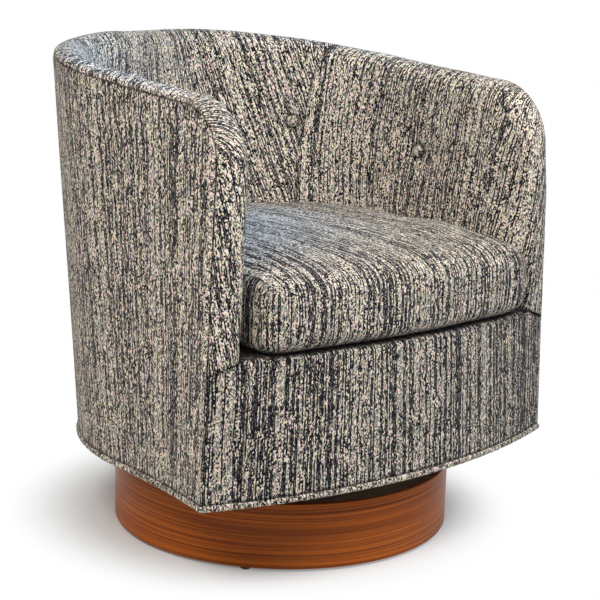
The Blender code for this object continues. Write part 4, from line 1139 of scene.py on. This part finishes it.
class TUB_OT_arm_beads(PieceOperator, bpy.types.Operator):
    """Sews a flat bead of cloth along the outer corner of each arm's front, its weave across the seam"""

    bl_idname = "tub.arm_beads"
    bl_label = "Arm front beads"

    def execute(self, context):
        half = BEAD_WIDTH / 2
        radius = ARM_ROUND - half
        turn = np.radians(np.linspace(0, 42, 30))
        straight = np.linspace(RAIL_HEIGHT - 0.012, ARM_ROUND_HEIGHT, 130)[:-1]
        z = np.concatenate([straight, ARM_ROUND_HEIGHT + radius * np.sin(turn)])
        y = np.concatenate([
            outline(straight).front_y + half, TOP.front_y + ARM_ROUND - radius * np.cos(turn),
        ])
        # its last stretch sinks into the seam, and both ends grow narrow
        last = len(z) - 1
        sunk = BEAD_SUNK * smooth(last - 15, last, np.arange(len(z))) - BEAD_PROUD
        x, y = side(y, z, sunk)
        path = point(x, y, z)
        step = 0.001
        away = np.stack([np.full(len(x), step), side(y - step, z, sunk)[0] - x, np.zeros(len(x))], -1)
        run = along(path)
        width = half * np.minimum(smooth(-0.003, 0.006, run), smooth(-0.003, 0.060, run[-1] - run))
        width = width * (1 + 0.03 * np.sin(run * 2 * PI / 0.0065))
        for name, sign in (("left", -1), ("right", 1)):
            mirror = np.array([sign, 1, 1])
            obj = tube(f"arm_bead_{name}", settled(path * mirror), width, 0.9,
                       tweed_material("tweed_bead"), closed=False, flat=BEAD_FLAT, normals=away * mirror)
            finish_piece(obj, "seat_shell")
        return {"FINISHED"}


class TUB_OT_buttons(PieceOperator, bpy.types.Operator):
    """Makes the five covered buttons, each a dome with its cloth gathered at the rim"""

    bl_idname = "tub.buttons"
    bl_label = "Covered buttons"

    def execute(self, context):
        rings, sides, shoulder = 14, 40, 0.75
        places = wall(TUFT_T, TUFT_Z, lining_inset(TUFT_T, TUFT_Z))
        outward = unit(wall(TUFT_T, TUFT_Z) - TUFTS)
        # a quarter of a circle from the middle to the shoulder, then a skirt that draws in
        q = np.linspace(0, 1, rings)
        turn = np.linspace(0, 2 * PI, sides, endpoint=False)
        bend = np.minimum(q / shoulder, 1) * PI / 2
        skirt = np.maximum(q - shoulder, 0) / (1 - shoulder)
        radius = 0.92 * BUTTON_RADIUS * np.sin(bend) * (1 - 0.10 * skirt)
        height = 0.0055 + 0.0065 * np.cos(bend) - 0.0055 * skirt
        r = radius[:, None] * (1 + 0.018 * np.cos(turn * 9)[None, :] * q[:, None] ** 3)
        # the rim is darkened through the Seam attribute: painted shade round the button's edge
        rim = np.repeat(0.9 * smooth(0.45, 0.80, q), sides)
        for name, centre, away in zip(TUFT_PLACES, places, outward):
            up = unit(np.array([0.0, 0.0, 1.0]) - away * away[2])
            right = np.cross(up, away)
            flat = r[..., None] * (np.cos(turn)[None, :, None] * right + np.sin(turn)[None, :, None] * up)
            weave = pair(r * np.cos(turn), r * np.sin(turn)) + centre[::2]
            obj = surface(f"button_cloth_{name}", centre + flat - away * height[:, None, None],
                          grid(rings, sides, wrap=True), tweed_material("tweed_button"), weave, rim)
            outwards(obj, 1e-6, close=True)
            finish_piece(obj, "seat_shell", [f"button_{name}"])
        return {"FINISHED"}


class TUB_OT_bottom_welt(PieceOperator, bpy.types.Operator):
    """Runs the piping round the tub's bottom edge"""

    bl_idname = "tub.bottom_welt"
    bl_label = "Bottom welt"

    def execute(self, context):
        loop = tub_loop(BODY_BOTTOM + WELT_RADIUS, 0.0, 0.0, WHOLE_FRONT, 900)
        s = along(loop)
        radius = WELT_RADIUS * (1 + 0.02 * np.sin(s * 2 * PI / 0.019) + 0.02 * np.sin(s * 2 * PI / 0.043))
        obj = tube("bottom_welt_tweed", loop, radius, 0.4, tweed_material("tweed_welt"))
        finish_piece(obj, "seat_shell", ["bottom_welt"])
        return {"FINISHED"}


# Pieces: cushion, deck and dust cover

def cushion_front(share, inset=0.0, swell=0.0):
    """The cushion's front edge: the rail's bow moved forward, more towards the corners by a square."""
    ahead = CUSHION_OVERHANG + CUSHION_SQUARE * share**2 + swell - inset
    return front(share, RAIL_HEIGHT, -ahead)[1]


def cushion_loop(z, inset, swell, count=260):
    """The cushion's outline at a height: beside the lining, an arc at each front corner and the bowed
    front between them."""
    t = np.linspace(-1.7, 1.7, 161)
    ring = wall(t, z, lining_inset(t, z) + CUSHION_CLEAR + inset)
    side_x = ring[-1, 0] + (ring[-1, 0] - ring[-12, 0]) * 0.3
    corner_y = cushion_front(side_x / outline(z).half_front, inset, swell)
    turn = np.radians(np.linspace(0, 80, 12))
    arc = point(
        side_x - CUSHION_CORNER * (1 - np.cos(turn)), corner_y + CUSHION_CORNER * (1 - np.sin(turn)), z
    )
    x = np.linspace(arc[-1, 0], -arc[-1, 0], 60)[1:-1]
    line = point(x, cushion_front(x / outline(z).half_front, inset, swell), z)
    return resample(np.concatenate([ring, arc, line, (arc * [-1, 1, 1])[::-1]]), count)


def cushion_form(shrink):
    """Stacked loops of the cushion: flat underside, heel, drawn-in side, soft upper edge and a top that
    crowns by a parabola and stands higher towards the back of each side."""
    bottom, edge = CUSHION_BOTTOM + shrink * 0.3, CUSHION_BOTTOM + CUSHION_HEIGHT - shrink
    levels = [  # inset, share of the swell, height
        (0.030, 0.0, bottom), (0.017, 0.1, bottom + 0.0025), (0.011, 0.2, bottom + 0.006),
        (0.0055, 0.4, bottom + 0.011), (0.0012, 0.6, bottom + 0.019), (0.002, 0.8, bottom + 0.034),
        (0.003, 1.0, (bottom + edge) / 2), (0.002, 0.8, edge - 0.034), (0.0006, 0.6, edge - 0.020),
        (0.0035, 0.3, edge - 0.0105), (0.010, 0.1, edge - 0.0038), (0.020, 0.0, edge - 0.0006),
    ]
    loops = [cushion_loop(z, inset + shrink, swell * CUSHION_SWELL) for inset, swell, z in levels]
    top = np.stack(shrunk(loops[-1], CUSHION_SHARES))
    top[..., 2] += (CUSHION_CROWN * (1 - np.square(CUSHION_SHARES)) * 0.6)[:, None]
    rings = np.stack([*shrunk(loops[0], CUSHION_SHARES)[::-1], *loops, *top])
    x, y, z = np.moveaxis(rings, -1, 0)
    high = smooth(bottom + 0.05, edge, z)
    rings[..., 2] = z + 0.011 * high * smooth(0.02, 0.24, np.abs(x)) * smooth(-0.32, -0.17, y)
    obj = surface("cushion_form", rings, grid(*rings.shape[:2], True))
    outwards(obj, close=True)
    return obj


def inflate(obj, pressure, cap):
    """Fills a closed form under pressure with a cloth simulation, and caps how far each point moves."""
    before = read(obj.data.vertices, "co", 3)
    cloth = obj.modifiers.new("Cloth", "CLOTH")
    assign(cloth.settings, **CLOTH, uniform_pressure_force=pressure)
    cloth.settings.effector_weights.gravity = 0
    assign(cloth.point_cache, frame_start=1, frame_end=CLOTH_FRAMES)
    for number in range(1, CLOTH_FRAMES + 1):
        bpy.context.scene.frame_set(number)
    done = evaluated_mesh(obj)
    move = read(done.vertices, "co", 3) - before
    obj.modifiers.clear()
    bpy.data.meshes.remove(done)
    bpy.context.scene.frame_set(1)
    far = np.linalg.norm(move, axis=1)
    move *= (np.minimum(far, cap(before)) / np.maximum(far, 1e-9))[:, None]
    write(obj.data.vertices, "co", before + move)
    obj.data.update()


class TUB_OT_seat_cushion(PieceOperator, bpy.types.Operator):
    """Makes the loose cushion: a crowned form filled by a cloth simulation"""

    bl_idname = "tub.seat_cushion"
    bl_label = "Seat cushion"

    def execute(self, context):
        padding = context.scene.tub_padding
        form = cushion_form(0.003)
        assign(form.modifiers.new("Remesh", "REMESH"), **REMESH)
        mesh = evaluated_mesh(form)
        bpy.data.objects.remove(form)
        obj = link("cushion_tweed", mesh, tweed_material("tweed_cushion"))
        mesh.name = "cushion_tweed"

        def cap(points):
            up = smooth(CUSHION_BOTTOM + 0.06, CUSHION_BOTTOM + 0.115, points[:, 2])
            return LEAST_CAP + (padding.crown - LEAST_CAP) * up

        inflate(obj, padding.pressure, cap)
        self.settle(mesh)
        self.map_weave(mesh)
        assign(obj.modifiers.new("Subdivision", "SUBSURF"), levels=1, render_levels=1)
        mesh.shade_smooth()
        finish_piece(obj, "cushion", ["seat_cushion"])
        return {"FINISHED"}

    def settle(self, mesh):
        """Moves the front corners forward by a belly of sine, keeps the underside on the deck, and marks
        the sewn line along it."""
        places = read(mesh.vertices, "co", 3)
        x, y, z = places.T
        tall = np.clip((z - CUSHION_BOTTOM) / (CUSHION_HEIGHT + 0.012), 0, 1)
        belly = np.maximum(np.sin(PI * tall), 0) ** 0.7
        near = smooth(-0.225, -0.305, y) * smooth(0.15, 0.25, np.abs(x)) * belly
        places[:, 0] = x - np.sign(x) * 0.003 * near
        places[:, 1] = y - 0.010 * near
        places[:, 2] = np.maximum(z, CUSHION_BOTTOM + GAP)
        write(mesh.vertices, "co", places)
        mesh.update()
        # painted shade along the cushion's lower edge
        add_seam_and_shade(mesh, 0.95 * bell(z - CUSHION_BOTTOM - 0.003, 0.0075))

    def map_weave(self, mesh):
        """The weave's map. One panel runs up the front and back over the top: across is x, along is y
        plus z. The side panels have their own map: across is the way round the corner and back, along
        is z."""
        loops = read(mesh.loops, "vertex_index", kind=np.int32)
        counts = read(mesh.polygons, "loop_total", kind=np.int32)
        tilt = np.abs(np.repeat(read(mesh.polygons, "normal", 3), counts, 0))
        x, y, z = read(mesh.vertices, "co", 3)[loops].T
        reach = np.abs(x)
        corner_x = reach.max() - CUSHION_CORNER - 0.012
        past = CUSHION_CORNER_Y - y
        bend = corner_x + 0.036 * np.arctan2(np.maximum(reach - corner_x, 0), np.maximum(past, 1e-6))
        way = np.where(reach < corner_x, reach, np.where(past > 0, bend, corner_x + 0.0565 - past))
        low = z < CUSHION_BOTTOM + 0.06
        upright = np.where(low, 1.0, smooth(0.8, 0.4, tilt[:, 2]))
        on_side = (tilt[:, 0] > 0.62) & (tilt[:, 2] < 0.72) & (past < 0)
        u = np.sign(x) * np.where(on_side, way, reach + upright * np.clip(way - reach, -0.02, 0.02))
        face = cushion_front(reach / outline(RAIL_HEIGHT).half_front) + AXIS_Y
        under = np.maximum(0, y - face)
        v = np.where(on_side, z + CUSHION_CORNER_Y, np.where(low, z + face - under, y + z))
        write(mesh.uv_layers.new(name="Weave").data, "uv", pair(u, v))


class TUB_OT_deck_pad(PieceOperator, bpy.types.Operator):
    """Makes the deck pad under the cushion, with its stitched border"""

    bl_idname = "tub.deck_pad"
    bl_label = "Deck pad"

    def execute(self, context):
        rim = [  # how far each loop is drawn in, and its height
            (0.006, DECK_BOTTOM + 0.0002), (0.0012, DECK_BOTTOM + 0.004), (0.0, DECK_BOTTOM + 0.009),
            (0.0022, RAIL_HEIGHT - 0.0035), (0.007, RAIL_HEIGHT - 0.0008),
        ]
        loops = [
            tub_loop(z, lining_inset(LOOP_T, z) + CUSHION_CLEAR + draw, RAIL_LIP + DECK_GAP + draw,
                     INNER_FRONT, 280)
            for draw, z in rim
        ]
        shares = np.linspace(0.985, 0.01, 34)
        top = np.stack(shrunk(loops[-1], shares))
        top[..., 2] = (RAIL_HEIGHT - 0.0006 - 0.0012 * bell(shares - 0.90, 0.012))[:, None]
        rings = np.stack([*shrunk(loops[0], (0.6, 0.3, 0.01))[::-1], *loops, *top])
        cloth = plain_cloth_material("deck_cloth", (0.19, 0.175, 0.155), 0.0016)
        obj = surface("deck_cloth", rings, grid(*rings.shape[:2], True), cloth, rings[..., :2])
        outwards(obj, 1e-6, close=True)
        finish_piece(obj, "seat_shell", ["deck_pad"])
        return {"FINISHED"}


class TUB_OT_dust_cover(PieceOperator, bpy.types.Operator):
    """Stretches the black dust cover under the base board, with a slight sag"""

    bl_idname = "tub.dust_cover"
    bl_label = "Dust cover"

    def execute(self, context):
        loop = tub_loop(DUST_COVER_Z + 0.0009, DUST_COVER_EDGE, DUST_COVER_EDGE, INNER_FRONT, 300)
        shares = np.linspace(1, 0.01, 24)
        rings = np.stack(shrunk(loop, shares))
        rings[..., 2] -= (SAG * (1 - shares**2))[:, None]
        cloth = plain_cloth_material("dust_cloth_black", (0.018, 0.018, 0.02), 0.0012)
        obj = surface("dust_cloth", rings, grid(*rings.shape[:2], True), cloth, rings[..., :2])
        outwards(obj, close=True)
        finish_piece(obj, "seat_shell", ["dust_cover"])
        return {"FINISHED"}


# Pieces: drum and frame

def turned_surface(name, profile, steps, material):
    """A closed profile turned round the swivel's axis: x and y are radius times cosine and sine of the
    turn. The map goes on to a full turn where the veneer's two ends meet."""
    turn = np.linspace(0, 2 * PI, steps, endpoint=False)
    radius, z = profile[:, :1], profile[:, 1:]
    points = point(radius * np.cos(turn), radius * np.sin(turn), z)
    quads = grid(len(profile), steps, wrap=True)
    weave = pair(turn * radius.max(), along(profile)[:, None]).reshape(-1, 2)[quads]
    weave[quads[:, 0] % steps == steps - 1, 1:3, 0] = 2 * PI * radius.max()
    return surface(name, points, quads, material, weave)


def rounded_edges(corners, radius, steps=5):
    """A closed profile of corners, each rounded by a curve of squares: it leaves one side, is drawn to
    the corner and joins the other side."""
    corners = np.asarray(corners)
    radius = radius[:, None, None]
    start, end = (
        corners[:, None] + unit(np.roll(corners, way, 0) - corners)[:, None] * radius for way in (1, -1)
    )
    s = np.linspace(0, 1, steps)[None, :, None]
    bend = ((1 - s) ** 2 * start + 2 * s * (1 - s) * corners[:, None] + s**2 * end).reshape(-1, 2)
    return np.concatenate([bend, bend[:1]])


class TUB_OT_drum(PieceOperator, bpy.types.Operator):
    """Turns the drum's walnut wall, with eased edges and the rebate for its board"""

    bl_idname = "tub.drum"
    bl_label = "Drum wall"

    def execute(self, context):
        inner, rebate = DRUM_RADIUS - DRUM_WALL, DRUM_RADIUS - DRUM_LIP
        corners = [
            (rebate, DRUM_TOP), (DRUM_RADIUS, DRUM_TOP), (DRUM_RADIUS, DRUM_BOTTOM), (inner, DRUM_BOTTOM),
            (inner, DRUM_LEDGE), (rebate, DRUM_LEDGE),
        ]
        profile = rounded_edges(corners, np.array([0.0008, 0.0022, 0.0022, 0.0008, 0.0005, 0.0005]))
        obj = turned_surface("drum_veneer", profile, 288, walnut_material("walnut_veneer"))
        outwards(obj, 1e-6)
        finish_piece(obj, "base", ["drum_wall"])
        return {"FINISHED"}


class TUB_OT_frame_finishes(PieceOperator, bpy.types.Operator):
    """Gives the boards, posts, springs, swivel and glides their finishes"""

    bl_idname = "tub.frame_finishes"
    bl_label = "Frame and swivel finishes"

    def execute(self, context):
        finishes = {
            bare_wood_material("birch_ply", (0.62, 0.45, 0.28), (0.42, 0.27, 0.15), 0.7, False):
                ("drum_board", "base_board", "seat_ring", "top_rail", "front_board"),
            bare_wood_material("frame_beech", (0.55, 0.36, 0.20), (0.36, 0.20, 0.10), 0.9, True):
                ("lower_", "upper_", "arm_post"),
            steel_material("zinc_plate", (0.58, 0.59, 0.60), 0.28, 0.50, 260.0):
                ("spring_clip", "swivel_", "base_screw", "seat_screw"),
            steel_material("drawn_wire", (0.22, 0.22, 0.23), 0.35, 0.55, 900.0): ("seat_spring",),
            nylon_material("moulded_nylon"): ("glide_", "ball_ring"),
        }
        for name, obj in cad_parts.items():
            for material, starts in finishes.items():
                if name.startswith(starts):
                    obj.data.materials.clear()
                    obj.data.materials.append(material)
        return {"FINISHED"}


# Stage

def placed(sideways, upright, backward, place):
    """An object's matrix, with its three axes and its place as columns."""
    rows = np.stack([sideways, upright, backward, place], 1)
    return Matrix([*rows.tolist(), [0, 0, 0, 1]])


def camera_matrix(yaw, pitch, roll, place):
    """The camera's place: forward by yaw and pitch, then turned about its own axis by the roll."""
    level = math.cos(pitch)
    forward = np.array([math.sin(yaw) * level, math.cos(yaw) * level, -math.sin(pitch)])
    right = np.array([math.cos(yaw), -math.sin(yaw), 0.0])
    up = np.cross(right, forward)
    sideways = math.cos(roll) * right + math.sin(roll) * up
    return placed(sideways, -math.sin(roll) * right + math.cos(roll) * up, -forward, place)


class TUB_OT_stage(PieceOperator, bpy.types.Operator):
    """Sets the camera, the pale floor, the white surroundings and the soft lights"""

    bl_idname = "tub.stage"
    bl_label = "Stage"

    def execute(self, context):
        scene, stage = context.scene, context.scene.tub_stage
        camera = bpy.data.objects.new("camera", assign(bpy.data.cameras.new("camera"), **LENS))
        scene.collection.objects.link(camera)
        camera.matrix_world = camera_matrix(**CAMERA)
        scene.camera = camera
        self.floor(stage)
        self.world(scene, stage)
        for name, (place, target, size, colour) in LAMPS.items():
            self.lamp(scene, name + "_light", place, target, getattr(stage, name), size, colour)
        scene.view_settings.view_transform = "Standard"
        return {"FINISHED"}

    def lamp(self, scene, name, place, target, power, size, colour):
        """A soft light aimed from a place to a target: a disc of the given size, or else a soft spot."""
        shape = dict(shape="DISK", size=size) if size else SPOT
        lamp = bpy.data.lights.new(name, "AREA" if size else "SPOT")
        obj = bpy.data.objects.new(name, assign(lamp, energy=power, color=colour, **shape))
        scene.collection.objects.link(obj)
        away = unit(np.array(place) - target)
        sideways = unit(np.cross([0, 0, 1], away))
        obj.matrix_world = placed(sideways, np.cross(away, sideways), away, place)

    def floor(self, stage):
        """A wide floor that shows the object's shadow near it and turns to white further off."""
        x, y = np.meshgrid(*[[-FLOOR_REACH, FLOOR_REACH]] * 2)
        material, tree, shader = new_material("studio_floor")
        tree.feed(shader.inputs, {"Base Color": stage.floor, "Roughness": 0.9, "Specular IOR Level": 0.1})
        far = tree.vector("LENGTH", {0: tree.place()}, "Value")
        edge = tree.times(tree.span(far, *FLOOR_FADE, kind="SMOOTHSTEP"), tree.seen())
        white = tree.add("ShaderNodeEmission", {"Color": WHITE, "Strength": 1.0}).outputs[0]
        both = tree.add("ShaderNodeMixShader", {0: edge, 1: shader.outputs[0], 2: white}).outputs[0]
        tree.feed(tree.tree.nodes["Material Output"].inputs, {"Surface": both})
        surface("floor", np.stack([x, y, np.zeros_like(x)], -1), grid(2, 2), material)

    def world(self, scene, stage):
        """White to the eye and in reflections, and a softer fill of light on everything else."""
        world = scene.world = bpy.data.worlds.new("studio")
        world.use_nodes = True
        tree = Tree(world.node_tree)
        seen = tree.seen()
        tree.feed(world.node_tree.nodes["Background"].inputs, {
            "Color": tree.mix(seen, FILL_COLOUR, WHITE),
            "Strength": tree.span(seen, 0.0, 1.0, stage.fill, 1.0),
        })


class TUB_PT_chair(bpy.types.Panel):
    """The chair's sizes, colours and pieces"""

    bl_idname = "TUB_PT_chair"
    bl_label = "Swivel tub chair"
    bl_space_type = "VIEW_3D"
    bl_region_type = "UI"
    bl_category = "Tub chair"

    def draw(self, context):
        for group, name in GROUPS.items():
            box = self.layout.box()
            box.label(text=group.__doc__)
            for value in group.__annotations__:
                box.prop(getattr(context.scene, name), value)
        for operator in OPERATORS:
            self.layout.operator(operator.bl_idname)


GROUPS = {
    TweedProperties: "tub_tweed", PaddingProperties: "tub_padding", WoodProperties: "tub_wood",
    StageProperties: "tub_stage",
}
OPERATORS = (
    TUB_OT_outer_cover, TUB_OT_front_cover, TUB_OT_tub_lining, TUB_OT_arm_beads, TUB_OT_buttons,
    TUB_OT_bottom_welt, TUB_OT_seat_cushion, TUB_OT_deck_pad, TUB_OT_dust_cover, TUB_OT_drum,
    TUB_OT_frame_finishes, TUB_OT_stage,
)


def register():
    for group, name in GROUPS.items():
        bpy.utils.register_class(group)
        setattr(bpy.types.Scene, name, PointerProperty(type=group))
    for operator in OPERATORS:
        bpy.utils.register_class(operator)
    bpy.utils.register_class(TUB_PT_chair)


def unregister():
    bpy.utils.unregister_class(TUB_PT_chair)
    for operator in reversed(OPERATORS):
        bpy.utils.unregister_class(operator)
    for group, name in GROUPS.items():
        delattr(bpy.types.Scene, name)
        bpy.utils.unregister_class(group)


def main():
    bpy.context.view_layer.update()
    register()
    for operator in OPERATORS:
        group, name = operator.bl_idname.split(".")
        getattr(getattr(bpy.ops, group), name)()


if __name__ == "__main__":
    main()
